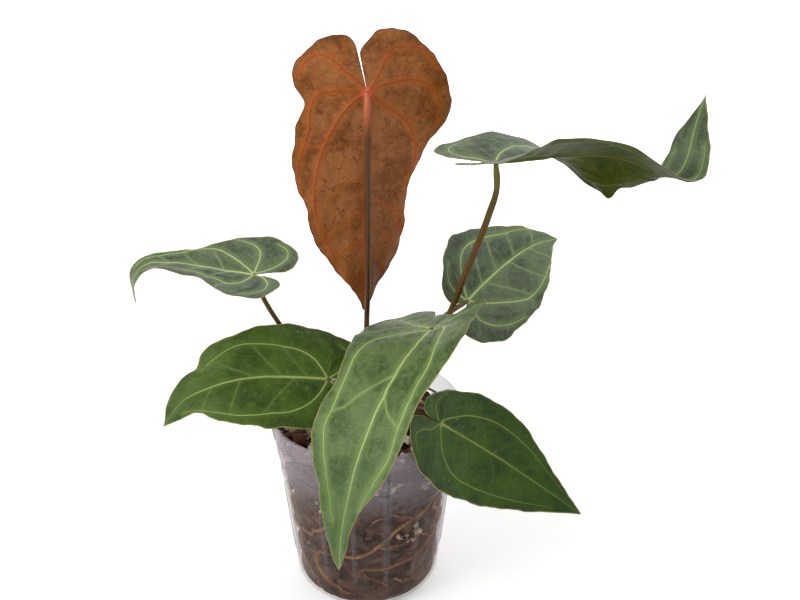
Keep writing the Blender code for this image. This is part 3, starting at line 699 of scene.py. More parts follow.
papery = Look("papery_sheath", {"Roughness": 0.75, "Specular IOR Level": 0.3})
papery_fibre = papery.noise(papery.stretched(papery.place(), (1, 1, 0.08)), 1500, 3.0)
papery.color(papery.blend(papery_fibre.rise(0.35, 0.65), (0.16, 0.075, 0.03), (0.40, 0.24, 0.12)))
papery.bump(papery_fibre, 0.0004, 0.8)

stem_heights = np.linspace(stem_low[2] - 3, STEM_TOP - 0.3, STEM_RINGS)
stem_share = np.linspace(0, 1, STEM_RINGS)
stem_radii = STEM_RADIUS * (1 - 0.3 * np.clip((stem_share - 0.6) / 0.4, 0, 1) ** 1.5)
stem_radii *= 1 + 0.05 * np.abs(np.sin(stem_share * 14)) ** 0.5 - 0.05
points, faces = rod(
    np.stack([0 * stem_heights, 0 * stem_heights, stem_heights], axis=1), stem_radii, STEM_SIDES,
    lambda share, turns: 1 + 0.03 * np.sin(3 * turns + 9 * share) + 0.02 * np.sin(7 * turns - 20 * share),
)
piece("short_stem", points, faces, skin, ["stem"])
for number, (azimuth, height, width) in enumerate(SHEATHS, 1):
    across, up = np.meshgrid(np.linspace(-1, 1, SHEATH_COLUMNS), np.linspace(0, 1, SHEATH_ROWS))
    narrowing = (1 - up**1.7) ** 0.8
    turn = azimuth + np.degrees(across * narrowing * width / 2 / (STEM_RADIUS + 3))
    out = STEM_RADIUS - 0.5 + 3.2 * up + 0.3 * np.sin(across * 6 + number) * up
    outer = on_cylinder(out + 0.2, turn, stem_low[2] - 2 + height * up).reshape(-1, 3)
    inner = on_cylinder(out - 0.2, turn, stem_low[2] - 2 + height * up).reshape(-1, 3)
    back = across.size
    spots = np.arange(back).reshape(across.shape)
    squares = np.stack([spots[:-1, :-1], spots[:-1, 1:], spots[1:, 1:], spots[1:, :-1]], axis=-1)
    faces = []
    for a, b, c, d in squares.reshape(-1, 4).tolist():
        faces.append((a, b, c, d))
        faces.append((back + a, back + d, back + c, back + b))
    edge = np.concatenate([spots[0], spots[1:, -1], spots[-1, -2::-1], spots[-2:0:-1, 0]]).tolist()
    for a, b in zip(edge, edge[1:] + edge[:1]):
        faces.append((b, a, back + a, back + b))
    piece(f"stem_sheath_{number}", np.concatenate([outer, inner]), faces, papery)

# ---------------------------------------------------------------- the leaf stalks
# Smooth round stalks, olive to red brown, with a shallow groove on the upper side. Each starts in a
# clasping foot on the stem and ends in a swollen knuckle right under the blade it carries.
CLEARANCE = 0.3
STALK_RADIUS = 1.85
STALK_FOOT_RADIUS = 2.3
STALK_END_RADIUS = 1.5
STALK_CIRCLE = STEM_RADIUS + CLEARANCE + 2.4 + 0.4
STALK_RISE = 7.0
STALKS = {
    "copper": (1.0, None, [(1, 7, 150), (1, 12, 172), (2, 8, 200), (3, 0, 260), (3.5, -3, 300)]),
    "upper_right": (
        1.0, 95, [(22, 4, 139), (52, 5, 188), (59, 5, 209), (67, 9, 229), (73, 11, 247), (77, 12, 262)]
    ),
    "middle_right": (0.85, 130, [(18, 18, 140), (40, 24, 166), (54, 22, 179)]),
    "upper_left": (0.75, 255, [(-20, 9, 126), (-38, 15, 148), (-52, 15, 172), (-61, 10, 194)]),
    "lower_left": (0.85, 305, [(-12, -9, 130), (-18, -13, 143)]),
    "front": (0.9, 62, [(14, -9, 132), (28, -16, 166), (36, -21, 184)]),
    "lower_right": (0.9, 30, [(13, -18, 130), (28, -32, 141), (38, -39, 142)]),
}
STALK_RINGS = 110
STALK_SIDES = 28

stalk_looks = {}
for kind, low_color, high_color, top_color in (
    ("olive", (0.040, 0.020, 0.001), (0.125, 0.068, 0.003), (0.13, 0.11, 0.02)),
    ("copper", (0.042, 0.013, 0.002), (0.120, 0.045, 0.007), (0.46, 0.12, 0.055)),
):
    stalk = Look(f"{kind}_stalk", {"Roughness": 0.42, "Specular IOR Level": 0.2})
    stalk_place = stalk.place()
    stalk_along = stalk.stored("along")
    stalk_streak = stalk.noise(stalk.stretched(stalk_place, (1, 1, 0.06)), 900, 3.0)
    stalk_patch = stalk.noise(stalk_place, 55, 3.0)
    stalk_dots = stalk.noise(stalk_place, 1500, 2.0)
    color = stalk.blend(0.6 * stalk_patch + 0.4 * stalk_streak, low_color, high_color)
    color = stalk.blend(0.7 * stalk_dots.rise(0.62, 0.72), color, low_color)
    color = stalk.blend(stalk_along.rise(0.86, 0.985), color, top_color)
    stalk.color(stalk.blend(stalk_along.rise(0.06, 0.0), color, (0.22, 0.17, 0.07)))
    stalk.feed(stalk.shader.inputs["Roughness"], 0.34 + 0.22 * stalk_patch)
    stalk.bump(stalk_streak + 0.5 * stalk_dots, 0.0003, 0.5)
    stalk_looks[kind] = stalk


def stalk_section(share, turns):
    """Round, a little flattened, grooved on one side, and swollen at the knuckle and the foot."""
    knuckle = 0.20 * math.exp(-(((share - 0.955) / 0.022) ** 2))
    foot = 0.32 * math.exp(-((share / 0.05) ** 2))
    groove = 0.12 * np.exp(-(((turns - 1.2) / 0.45) ** 2)) * (1 - min(1, abs(share - 0.5) * 2.2))
    return 1 + knuckle + foot - groove + 0.012 * np.sin(2 * turns + 40 * share) + 0.01 * math.sin(61 * share)


# ---------------------------------------------------------------- the leaves
# Thin blades with a strong midrib, a few main veins that leave the stalk's end and bow round inside the
# margin, and finer cross veins. Above they are velvety with pale sunken veins; below they are smooth
# with raised ones. The newest hangs with its copper underside forward.
# junction, length, heading (from +X towards +Y), pitch, roll, folds and curl bend the sheet; left and right
# are its margins from the notch to the tip; mains are the main veins and sides the cross veins, all as
# (distance ahead of the stalk, distance to the left).
LOBE_REACH = 46.0
BLADE_STEP = 1.0
MARGIN_POINTS = 170
RINGS = 76
BLADE_HALF = 0.26
LEAVES = {
    "copper": dict(
        junction=(3.5, 2, 323), length=143,
        heading=[(0, 98), (143, 116)], pitch=[(-40, -76), (0, -80), (143, -85)], roll=[(0, -2), (143, -4)],
        fold_left=[(0, 6)], fold_right=[(0, 8)], curl=0.2,
        left=[(-8, 1.9), (-18, 4.1), (-25, 5.4), (-30, 8), (-33, 14), (-32, 21), (-26, 30), (-20, 36),
              (-11, 40), (-4, 40), (2, 37), (6, 34.5), (12, 36), (18, 38), (28, 40), (42, 42), (54, 40),
              (74, 34), (86, 32), (100, 26), (116, 15), (134, 3.5), (143, 0)],
        right=[(-8, -1.5), (-18, -3.1), (-26, -3.2), (-31, 1), (-35, 6), (-36, 13), (-33, 20), (-26, 30),
               (-14, 40), (-2, 47), (12, 52), (20, 53), (26, 52), (31, 47), (38, 40), (49, 35), (58, 30),
               (68, 28), (84, 27), (102, 26), (114, 21), (127, 12), (138, 4), (143, 0)],
        mains=[
            [(-7, 6), (-13, 13), (-19, 19), (-21, 26), (-17, 33), (-9, 37)],
            [(0, 10), (0, 20), (3, 28), (11, 31), (22, 32), (32, 35), (42, 38), (58, 39), (76, 34)],
            [(6, 8), (15, 15), (24, 20), (36, 25), (48, 28), (61, 30), (75, 29), (90, 24), (106, 17),
             (124, 7)],
            [(-9, -6), (-18, -10), (-23, -13), (-24, -20), (-22, -28), (-18, -34), (-8, -42)],
            [(-3, -10), (-4, -19), (-3, -28), (1, -36), (9, -42), (18, -46), (26, -46)],
            [(9, -10), (16, -18), (24, -25), (35, -30), (46, -32), (60, -29), (78, -26), (98, -22),
             (124, -9)],
        ],
        sides=[
            [(-15, 14), (-24, 12), (-29, 13)], [(-18, 18), (-27, 18)], [(1, 26), (-6, 28), (-12, 30)],
            [(52, 1), (55, 9), (62, 18), (72, 29)], [(74, 1), (77, 8), (84, 16), (90, 23)],
            [(92, 1), (95, 7), (101, 14), (105, 18)], [(-4, -19), (-12, -21), (-20, -24)],
            [(-3, -28), (-10, -31), (-16, -36)], [(65, -1), (70, -9), (77, -17), (84, -25)],
            [(84, -1), (88, -8), (95, -16), (101, -20)], [(102, -1), (106, -7), (112, -13)],
            [(32, 23), (33, 30), (32, 35)], [(24, -25), (21, -33), (20, -40), (18, -46)],
        ],
    ),
    "upper_right": dict(
        junction=(76, 12, 279), length=158,
        heading=[(0, 0), (86, 0), (100, 26), (116, 48), (158, 40)],
        pitch=[(-40, -6), (0, 4), (30, 10), (58, 4), (78, -18), (92, -30), (104, -4), (117, 50), (158, 64)],
        roll=[(0, 0)],
        fold_left=[(-40, 0), (18, 0), (32, -20), (48, -46), (64, -60), (80, -58), (95, -38), (108, -18),
                   (158, -30)],
        fold_right=[(-40, 16), (10, 24), (50, 33), (76, 32), (98, 12), (158, 8)], curl=-0.1,
        left=[(-14, 3), (-27, 8), (-35, 18), (-30, 29), (-16, 35), (4, 38), (28, 40), (46, 40), (62, 37),
              (76, 33), (90, 25), (106, 18), (134, 10), (158, 0)],
        right=[(-14, 4), (-22, 9), (-24, 18), (-18, 28), (-4, 37), (14, 41), (36, 40), (58, 36), (78, 28),
               (96, 20), (116, 15), (140, 8), (158, 0)],
        mains=[
            [(-8, 4), (-18, 10), (-26, 18), (-24, 27), (-14, 31)],
            [(2, 8), (8, 17), (18, 26), (32, 32), (50, 29), (72, 22), (96, 15), (124, 9)],
            [(-6, -5), (-14, -10), (-17, -18), (-12, -27), (-2, -32)],
            [(3, -9), (10, -18), (22, -28), (40, -33), (60, -29), (80, -22), (104, -14), (130, -8)],
        ],
        sides=[
            [(26, 1), (31, 10), (38, 20), (44, 30)], [(46, 1), (52, 10), (60, 19), (66, 24)],
            [(68, 1), (74, 8), (82, 15), (86, 18)], [(90, 1), (96, 7), (102, 13)],
            [(24, -1), (30, -10), (38, -21), (46, -32)], [(46, -1), (52, -10), (62, -20), (70, -26)],
            [(70, -1), (76, -9), (86, -18)], [(92, -1), (98, -7), (106, -13)],
        ],
    ),
    "middle_right": dict(
        junction=(63, 18, 188), length=99,
        heading=[(0, 60), (99, 38)], pitch=[(0, 8), (60, 8), (99, -12)], roll=[(0, 50), (99, 28)],
        fold_left=[(0, 9)], fold_right=[(0, 9)], curl=-0.08,
        left=[(-9, 3), (-15, 8), (-16, 14), (-12, 20), (-4, 27), (6, 33), (18, 36), (32, 34), (46, 28),
              (60, 22), (78, 13), (90, 6), (99, 0)],
        right=[(-10, 3), (-19, 7), (-23, 13), (-20, 20), (-12, 27), (-1, 33), (14, 35), (30, 35), (42, 34),
               (55, 29), (68, 22), (80, 13), (90, 5), (99, 0)],
        mains=[
            [(-3, 5), (-6, 11), (-6, 17), (-3, 22), (3, 26)],
            [(4, 8), (8, 14), (13, 20), (20, 24), (30, 25), (44, 22), (60, 16), (78, 12), (90, 6)],
            [(-3, -8), (-4, -14), (0, -21), (6, -26), (14, -30), (24, -33)],
            [(8, -8), (18, -15), (29, -22), (38, -26), (50, -26), (60, -23), (70, -19), (80, -14), (90, -5)],
        ],
        sides=[
            [(20, 1), (23, 10), (28, 18), (33, 25)], [(37, 1), (40, 11), (45, 20)],
            [(56, 1), (58, 8), (61, 16)], [(74, 1), (77, 6), (80, 11)],
            [(24, -1), (29, -9), (36, -18), (42, -26)],
            [(50, -1), (53, -11), (58, -19), (61, -23)], [(70, -1), (74, -9), (78, -15)],
        ],
    ),
    "upper_left": dict(
        junction=(-65, 5, 212), length=92,
        heading=[(0, 172), (70, 200), (92, 212)], pitch=[(0, 3), (35, 12), (62, -12), (76, -75), (92, -100)],
        roll=[(0, -7), (92, -2)], fold_left=[(0, 6)], fold_right=[(0, 7)], curl=0.0,
        left=[(-7, 2), (-14, 4), (-18, 9), (-17, 17), (-13, 26), (-4, 31), (6, 31), (16, 28), (24, 23),
              (34, 18), (44, 17), (56, 13), (75, 8), (92, 0)],
        right=[(-10, 2), (-18, 5), (-23, 13), (-23, 20), (-18, 28), (-8, 34), (5, 37), (18, 30), (30, 20),
               (44, 12), (58, 10), (75, 7), (92, 0)],
        mains=[
            [(-6, 3), (-10, 8), (-11, 15), (-7, 22), (0, 26)],
            [(2, 7), (5, 12), (12, 15), (20, 14), (28, 11), (40, 9), (54, 8), (70, 5)],
            [(-7, -5), (-13, -11), (-16, -19), (-14, -26), (-8, -30)],
            [(0, -8), (0, -15), (2, -23), (7, -28), (15, -30)],
            [(6, -6), (12, -11), (18, -15), (25, -18), (32, -17), (40, -12), (52, -8), (70, -5)],
        ],
        sides=[
            [(16, 1), (21, 7), (26, 12)], [(32, 1), (37, 6), (41, 9)], [(18, -1), (22, -8), (27, -17)],
            [(34, -1), (39, -6), (42, -11)], [(50, 1), (54, 5)], [(50, -1), (55, -5)],
            [(12, 15), (18, 20), (20, 25)],
        ],
    ),
    "lower_left": dict(
        junction=(-22, -15, 152), length=108,
        heading=[(0, 186), (50, 192), (85, 200), (95, 212), (108, 216)],
        pitch=[(0, 10), (40, 2), (70, -16), (86, -26), (93, -42), (108, -48)],
        roll=[(0, -36), (80, -30), (108, -36)],
        fold_left=[(0, 0)], fold_right=[(0, 0), (80, 0), (95, -35), (108, -45)], curl=-0.1,
        left=[(-12, 3), (-20, 8), (-24, 16), (-20, 26), (-8, 32), (8, 33), (26, 33), (42, 33), (58, 29),
              (72, 22), (84, 12), (96, 8), (108, 0)],
        right=[(-12, 3), (-20, 7), (-23, 13), (-20, 21), (-9, 28), (4, 32), (20, 34), (38, 31), (56, 26),
               (68, 22), (76, 14), (80, 15), (92, 12), (100, 7), (108, 0)],
        mains=[
            [(-7, 5), (-13, 11), (-14, 19), (-8, 26)],
            [(3, 7), (9, 15), (21, 22), (36, 24), (54, 24), (70, 18), (80, 12), (94, 6)],
            [(-6, -5), (-12, -10), (-13, -17), (-6, -24)],
            [(3, -5), (8, -12), (16, -17), (26, -19), (38, -20), (52, -20), (62, -16), (72, -12)],
        ],
        sides=[
            [(20, 1), (27, 9), (34, 17), (40, 24)], [(52, 1), (56, 8), (60, 16), (63, 21)],
            [(70, 1), (75, 7), (79, 12)], [(12, -1), (19, -8), (27, -19)],
            [(45, -1), (54, -6), (64, -12), (72, -13)], [(28, -1), (36, -9), (43, -19)],
        ],
    ),
    "front": dict(
        junction=(40, -24, 191), length=163,
        heading=[(0, -118), (163, -128)], pitch=[(0, 5), (82, -50), (163, -88)],
        roll=[(0, 20), (82, 8), (163, -6)], fold_left=[(0, 5)], fold_right=[(0, 3)], curl=0.08,
        left=[(-12, -3.2), (-24, -8.6), (-25, -4), (-28, 3), (-35, 6.2), (-43, 8.5), (-45, 12), (-39, 18),
              (-20, 23), (4, 29), (20, 33), (36, 32), (52, 28), (70, 26), (86, 26), (100, 22), (114, 15),
              (128, 8), (146, 5), (163, 0)],
        right=[(-12, 4.2), (-24, 10.4), (-33, 15.5), (-33, 21), (-28, 31), (-18, 42), (-4, 47), (12, 46),
               (28, 42), (44, 37), (60, 34), (76, 35), (88, 35), (104, 28), (120, 19), (138, 12), (152, 6),
               (163, 0)],
        mains=[
            [(-7, 3), (-18, 7), (-28, 11), (-34, 15)],
            [(0, 7), (11, 12), (24, 16), (41, 20), (52, 19), (64, 19), (74, 19), (90, 20), (104, 15),
             (122, 9)],
            [(-5, -8), (-11, -20), (-18, -34), (-16, -40)],
            [(4, -12), (9, -22), (20, -31), (46, -31), (58, -29), (74, -28), (86, -28), (98, -23), (112, -16),
             (134, -7)],
        ],
        sides=[
            [(46, -1), (52, -6), (65, -16), (72, -21), (76, -27)], [(60, 1), (68, 8), (74, 18)],
        ],
    ),
    "lower_right": dict(
        junction=(45, -42, 138), length=116,
        heading=[(0, 32), (60, 2), (116, -14)], pitch=[(0, -42), (64, -38), (116, -33)],
        roll=[(0, 55), (116, 38)], fold_left=[(0, 3)], fold_right=[(0, 0)], curl=-0.08,
        left=[(-8, 0.4), (-13, 0.8), (-17, 3), (-17, 8), (-12, 13), (-4, 19), (8, 24), (20, 28), (38, 30),
              (52, 28), (66, 23), (80, 16), (92, 10), (104, 5), (116, 0)],
        right=[(-9, 0.9), (-18, 1.9), (-24, 5), (-26, 12), (-21, 22), (-12, 31), (2, 36), (18, 37), (34, 35),
               (50, 32), (62, 28), (76, 22), (90, 15), (104, 7), (116, 0)],
        mains=[
            [(-5, 5), (-7, 10), (-3, 15)],
            [(3, 3), (11, 8), (20, 13), (29, 16), (38, 18), (50, 18), (64, 16), (82, 11), (98, 5)],
            [(-6, -6), (-14, -9), (-19, -14), (-15, -22)],
            [(2, -5), (4, -11), (9, -18), (16, -23), (25, -25), (36, -25), (51, -23), (64, -20), (84, -13),
             (98, -7)],
        ],
        sides=[
            [(24, 1), (30, 8), (37, 18)], [(46, 1), (52, 8), (58, 16)], [(68, 1), (74, 7), (80, 11)],
            [(22, -1), (27, -9), (32, -17), (36, -25)], [(44, -1), (50, -9), (57, -21)],
            [(66, -1), (73, -8), (78, -15)],
        ],
    ),
}


class Sheet:
    """A blade's bent surface: flat distances (a ahead of the stalk, w to the left) to points."""

    def __init__(self, leaf):
        a = np.arange(-LOBE_REACH, leaf["length"] + BLADE_STEP, BLADE_STEP)
        heading = np.radians(through(leaf["heading"], a))
        pitch = np.radians(through(leaf["pitch"], a))
        roll = np.radians(through(leaf["roll"], a))[:, None]
        ahead = np.stack(
            [np.cos(pitch) * np.cos(heading), np.cos(pitch) * np.sin(heading), np.sin(pitch)], axis=1
        )
        level = np.stack([-np.sin(heading), np.cos(heading), 0 * heading], axis=1)
        left = level * np.cos(roll) + np.cross(ahead, level) * np.sin(roll)
        steps = BLADE_STEP * (ahead[1:] + ahead[:-1]) / 2
        middle = np.concatenate([[[0, 0, 0]], np.cumsum(steps, axis=0)])
        self.a = a
        self.middle = middle - middle[int(round(LOBE_REACH / BLADE_STEP))] + np.array(leaf["junction"])
        self.left = left
        self.up = np.cross(ahead, left)
        self.fold = {
            1: np.radians(through(leaf["fold_left"], a)),
            -1: np.radians(through(leaf["fold_right"], a)),
        }
        self.curl = math.radians(leaf["curl"])

    def at(self, a, w):
        middle, left, up = (
            np.stack([np.interp(a, self.a, part[:, k]) for k in range(3)], axis=-1)
            for part in (self.middle, self.left, self.up)
        )
        side = np.where(w >= 0, 1, -1)
        fold = np.where(w >= 0, np.interp(a, self.a, self.fold[1]), np.interp(a, self.a, self.fold[-1]))
        half = fold + self.curl * np.abs(w) / 2
        reach = np.abs(w) * np.sinc(self.curl * np.abs(w) / (2 * np.pi))
        out = (side * reach * np.cos(half))[..., None]
        return middle + out * left + (reach * np.sin(half))[..., None] * up

    def normal(self, a, w):
        d = 0.7
        ahead = self.at(np.asarray(a + d), np.asarray(w)) - self.at(np.asarray(a - d), np.asarray(w))
        left = self.at(np.asarray(a), np.asarray(w + d)) - self.at(np.asarray(a), np.asarray(w - d))
        n = np.cross(ahead, left)
        return n / np.linalg.norm(n, axis=-1, keepdims=True)


def from_veins(flat, veins, widths):
    """For each flat point: the signed distance to its nearest vein, and that vein's half width there."""
    best = np.full(len(flat), 1e9)
    signed = np.full(len(flat), 1e9)
    breadth = np.ones(len(flat))
    for vein, (wide, narrow) in zip(veins, widths):
        path = along(vein, 12 * len(vein))
        start, step = path[:-1], np.diff(path, axis=0)
        offset = flat[:, None, :] - start[None]
        share = np.clip((offset * step).sum(-1) / (step * step).sum(-1), 0, 1)
        gap = offset - share[..., None] * step
        distance = np.hypot(gap[..., 0], gap[..., 1])
        k = distance.argmin(axis=1)
        rows = np.arange(len(flat))
        near = distance[rows, k]
        side = np.sign(step[k, 0] * offset[rows, k, 1] - step[k, 1] * offset[rows, k, 0])
        here = wide + (narrow - wide) * (k + share[rows, k]) / len(step)
        closer = near / here < best / breadth
        best = np.where(closer, near, best)
        signed = np.where(closer, near * np.where(side == 0, 1, side), signed)
        breadth = np.where(closer, here, breadth)
    return signed, breadth


def blade_outline(leaf, wobble):
    """The margin from the right of the notch round the tip to the left of it, finely stepped."""
    right = along(leaf["right"], MARGIN_POINTS) * (1, -1)
    left = along(leaf["left"], MARGIN_POINTS)[::-1][1:]
    margin = np.concatenate([right, left])
    run = np.concatenate([[0], np.cumsum(np.linalg.norm(np.diff(margin, axis=0), axis=1))])
    fade = np.clip(np.minimum(run, run[-1] - run) / 20, 0, 1) * np.clip(np.abs(run - run[-1] / 2) / 25, 0, 1)
    outward = np.gradient(margin, axis=0) @ np.array([[0, 1], [-1, 0]])
    outward /= np.linalg.norm(outward, axis=1)[:, None]
    shift = 0.35 * np.sin(run / 3.1 + 1) + 0.3 * np.sin(run / 5.3 + 2) + 0.15 * np.sin(run / 1.3)
    return margin + outward * (wobble * fade * shift)[:, None], run


# Blades are told apart by a little: how wavy the margin is, how much the surface is quilted between veins.
BLADE_RELIEF = {
    "copper": (1.0, 0.7), "upper_right": (0.8, 0.6), "middle_right": (0.9, 0.9), "upper_left": (0.8, 0.8),
    "lower_left": (0.9, 1.0), "front": (0.6, 0.9), "lower_right": (0.7, 0.4),
}
# Half widths of the veins at their start and at their end.
MIDRIB_WIDTHS = (0.95, 0.26)
MAIN_WIDTHS = (0.62, 0.17)
SIDE_WIDTHS = (0.34, 0.15)
# The upper side, the underside and the thin edge lie next to each other in the unit square, a little apart.
UV_EDGE = 0.01
UV_SIDE_WIDTH = 0.47
UV_UNDER_START = 0.49
UV_STRIP_START = 0.975
UV_STRIP_WIDTH = 0.015


def make_blade(name, leaf, looks, slot):
    """One blade: rays of points from the stalk out to the margin, above and below, joined by a thin edge."""
    sheet = Sheet(leaf)
    wavy, quilted = BLADE_RELIEF[name]
    margin, run = blade_outline(leaf, wavy)
    rays = len(margin)
    shares = np.linspace(0, 1, RINGS + 1)[1:]
    flat = np.concatenate([[[0.0, 0.0]], (shares[:, None, None] * margin[None]).reshape(-1, 2)])
    share = np.concatenate([[0.0], np.repeat(shares, rays)])
    length = leaf["length"]
    midrib = [(0, 0), (length / 2, 0), (length * 0.995, 0)]
    mains = [midrib] + [[(0, 0), *vein] for vein in leaf["mains"]]
    main_widths = [MIDRIB_WIDTHS] + [MAIN_WIDTHS] * len(leaf["mains"])
    main_signed, main_half = from_veins(flat, mains, main_widths)
    side_signed, side_half = from_veins(flat, leaf["sides"], [SIDE_WIDTHS] * len(leaf["sides"]))
    main_far, side_far = np.abs(main_signed), np.abs(side_signed)
    main_near = np.exp(-((main_far / (1.5 * main_half)) ** 2))
    side_near = np.exp(-((side_far / (1.7 * side_half)) ** 2))
    tangent = np.gradient(margin, axis=0)
    tangent /= np.linalg.norm(tangent, axis=1)[:, None]
    slant = np.abs(margin[:, 0] * tangent[:, 1] - margin[:, 1] * tangent[:, 0])
    to_edge = np.concatenate([[slant.mean()], ((1 - shares)[:, None] * slant[None]).reshape(-1)])

    seed = sum(map(ord, name))
    flat3 = np.concatenate([flat, np.zeros((len(flat), 1))], axis=1)
    swell = 1 - np.exp(-((main_far / 7) ** 2))
    swell += 0.5 * (1 - np.exp(-((side_far / 4) ** 2)))
    along_margin = np.concatenate([[0.0], np.tile(run, RINGS)])
    ripple = np.sin(along_margin / 4.6 + seed) + 0.6 * np.sin(along_margin / 2.7 + 2 * seed)
    lift = quilted * 1.05 * (swell - 0.8) * (1 - share**6) + 0.5 * wavy * ripple * share**5
    lift += 0.45 * waves(flat3, seed, 5, 0.10) * share
    lift += 0.16 * waves(flat3, seed + 1, 7, 0.45) * np.clip(to_edge / 4, 0, 1)
    middle = sheet.at(flat[:, 0], flat[:, 1])
    normal = sheet.normal(flat[:, 0], flat[:, 1])
    body = BLADE_HALF * np.clip(to_edge / 1.5, 0.35, 1)
    above = body - 0.30 * main_near - 0.12 * side_near
    below = body + 0.85 * main_half * main_near + 0.5 * side_half * side_near
    upper = middle + (lift + above)[:, None] * normal
    lower = middle + (lift - below)[:, None] * normal

    under = len(flat)
    i = np.arange(rays - 1)
    fan = np.stack([0 * i, 1 + i, 2 + i], axis=1)
    quads = [1 + ring * rays + i for ring in range(RINGS - 1)]
    quads = np.concatenate([np.stack([p, p + rays, p + rays + 1, p + 1], axis=1) for p in quads])
    rim = 1 + (RINGS - 1) * rays + i
    rim_faces = np.stack([rim, under + rim, under + rim + 1, rim + 1], axis=1)
    right_chain = np.concatenate([[0], 1 + np.arange(RINGS) * rays])
    left_chain = np.concatenate([[0], rays + np.arange(RINGS) * rays])
    p, q = right_chain[:-1], right_chain[1:]
    right_faces = np.stack([p, under + p, under + q, q], axis=1)
    p, q = left_chain[:-1], left_chain[1:]
    left_faces = np.stack([p, q, under + q, under + p], axis=1)
    top_faces = fan.tolist() + quads.tolist()
    under_faces = (under + fan[:, ::-1]).tolist() + (under + quads[:, ::-1]).tolist()
    edge_faces = rim_faces.tolist() + right_faces.tolist() + left_faces.tolist()
    faces = top_faces + under_faces + edge_faces
    points = np.concatenate([upper, lower])
    obj = piece(f"blade_{name}", points, faces, looks[0], [f"leaf_{name}"], looks[1:])
    index = [0] * len(top_faces) + [1] * len(under_faces) + [0] * len(edge_faces)
    obj.data.polygons.foreach_set("material_index", index)

    both = np.concatenate([flat3, flat3 + [0, 0, 50]])
    store(obj, "flat", both)
    veins = np.stack([main_signed / main_half, side_signed / side_half, to_edge], axis=1)
    store(obj, "veins", np.concatenate([veins, veins]))
    near = np.stack([np.clip(1 - main_far / 5, 0, 1), np.clip(1 - side_far / 3, 0, 1), share], axis=1)
    store(obj, "near", np.concatenate([near, near]))

    span = flat.max(axis=0) - flat.min(axis=0)
    scaled = (flat - flat.min(axis=0)) / span * (1 - 2 * UV_EDGE) + UV_EDGE
    spot = np.concatenate([
        np.stack([UV_SIDE_WIDTH * scaled[:, 1], scaled[:, 0]], axis=1),
        np.stack([UV_UNDER_START + UV_SIDE_WIDTH * scaled[:, 1], scaled[:, 0]], axis=1),
    ])
    corners = np.empty(len(obj.data.loops), np.int32)
    obj.data.loops.foreach_get("vertex_index", corners)
    uv = spot[corners]
    first_edge = 3 * 2 * (rays - 1) + 4 * 2 * len(quads)
    strip = np.arange(len(corners) - first_edge)
    uv[first_edge:, 0] = UV_STRIP_START + UV_STRIP_WIDTH * np.isin(strip % 4, (1, 2))
    up_strip = (strip // 4 + np.isin(strip % 4, (2, 3))) / len(edge_faces)
    uv[first_edge:, 1] = UV_EDGE + (1 - 2 * UV_EDGE) * up_strip
    layer = obj.data.uv_layers.new(name="OFBake")
    layer.data.foreach_set("uv", uv.ravel().astype(np.float32))
    return sheet


def leaf_look(name, palette, constants):
    """A blade's finish: ground colour, paler zones by the veins, veins, cells, specks, margin, and painted
    shade towards the tip.
    """
    look = Look(name, constants)
    flat = look.stored_vector("flat")
    q_main, q_side, to_edge = look.parts(look.stored_vector("veins"))
    near_main, near_side, share = look.parts(look.stored_vector("near"))
    ground = look.noise(flat, 0.045, 4.0, 0.6)
    mottle = look.noise(flat, 0.35, 4.0, 0.65)
    fine = look.noise(flat, 3.2, 3.0, 0.6)
    drift = look.node("ShaderNodeTexNoise", {}, {"Vector": flat, "Scale": 0.25}).outputs["Color"]
    warp_terms = {0: drift, 1: (palette["net_warp"],) * 3, 2: flat}
    warp = look.node("ShaderNodeVectorMath", {"operation": "MULTIPLY_ADD"}, warp_terms).outputs[0]
    net = look.cells(warp, 1 / palette["net_size"], "DISTANCE_TO_EDGE")[0]
    net_line = net.rise(palette["net_width"], 0.0) * mottle.rise(0.25, 0.45)
    areole = look.cells(flat, 1.1, "DISTANCE_TO_EDGE")[0]
    speck_far, speck_draw = look.cells(flat, 0.16)
    speck = speck_far.rise(0.055, 0.035) * look.parts(speck_draw)[0].rise(0.70, 0.72)
    main = abs(q_main).rise(1.15, 0.55) * near_main.rise(0.0, 0.5)
    side = abs(q_side).rise(1.3, 0.5) * near_side.rise(0.0, 0.5)
    color = look.blend(ground.rise(0.36, 0.62), palette["dark"], palette["mid"])
    color = look.blend(0.5 * mottle.rise(0.45, 0.75), color, palette["pale"])
    color = look.blend(palette["cells"] * areole.rise(0.18, 0.02), color, palette["pale"])
    color = look.blend(palette["net"] * net_line, color, palette["net_color"])
    color = look.blend(palette["halo"] * near_side.rise(0.25, 1.1), color, palette["halo_color"])
    color = look.blend(palette["halo"] * near_main.rise(0.1, 1.05), color, palette["halo_color"])
    color = look.blend(palette["side"] * side, color, palette["side_color"])
    color = look.blend(palette["main"] * main, color, palette["main_color"])
    heart = palette["heart"] * share.rise(palette["heart_reach"], 0.0) * near_main.rise(0.6, 0.95)
    color = look.blend(heart, color, palette["heart_color"])
    color = look.blend(palette["margin"] * to_edge.rise(0.75, 0.35), color, palette["margin_color"])
    color = look.blend(palette["specks"] * speck, color, (0.75, 0.75, 0.70))
    # Painted shade: the blade is darkened towards its tip, where it catches no sheen.
    tip = palette["tip"] * look.parts(flat)[0].rise(60, 150)
    look.color(look.blend(tip, color, palette["dark"]))
    rough = palette["rough"] + 0.16 * (mottle - 0.5) + 0.08 * fine - 0.08 * main
    look.feed(look.shader.inputs["Roughness"], rough)
    raised = palette["vein_lift"] * (main + 0.5 * side) + 0.25 * fine
    raised = raised + palette["cell_relief"] * areole.rise(0.0, 0.25)
    look.bump(raised + palette["vein_lift"] * 0.4 * net_line, 0.00025, 0.8)
    return look


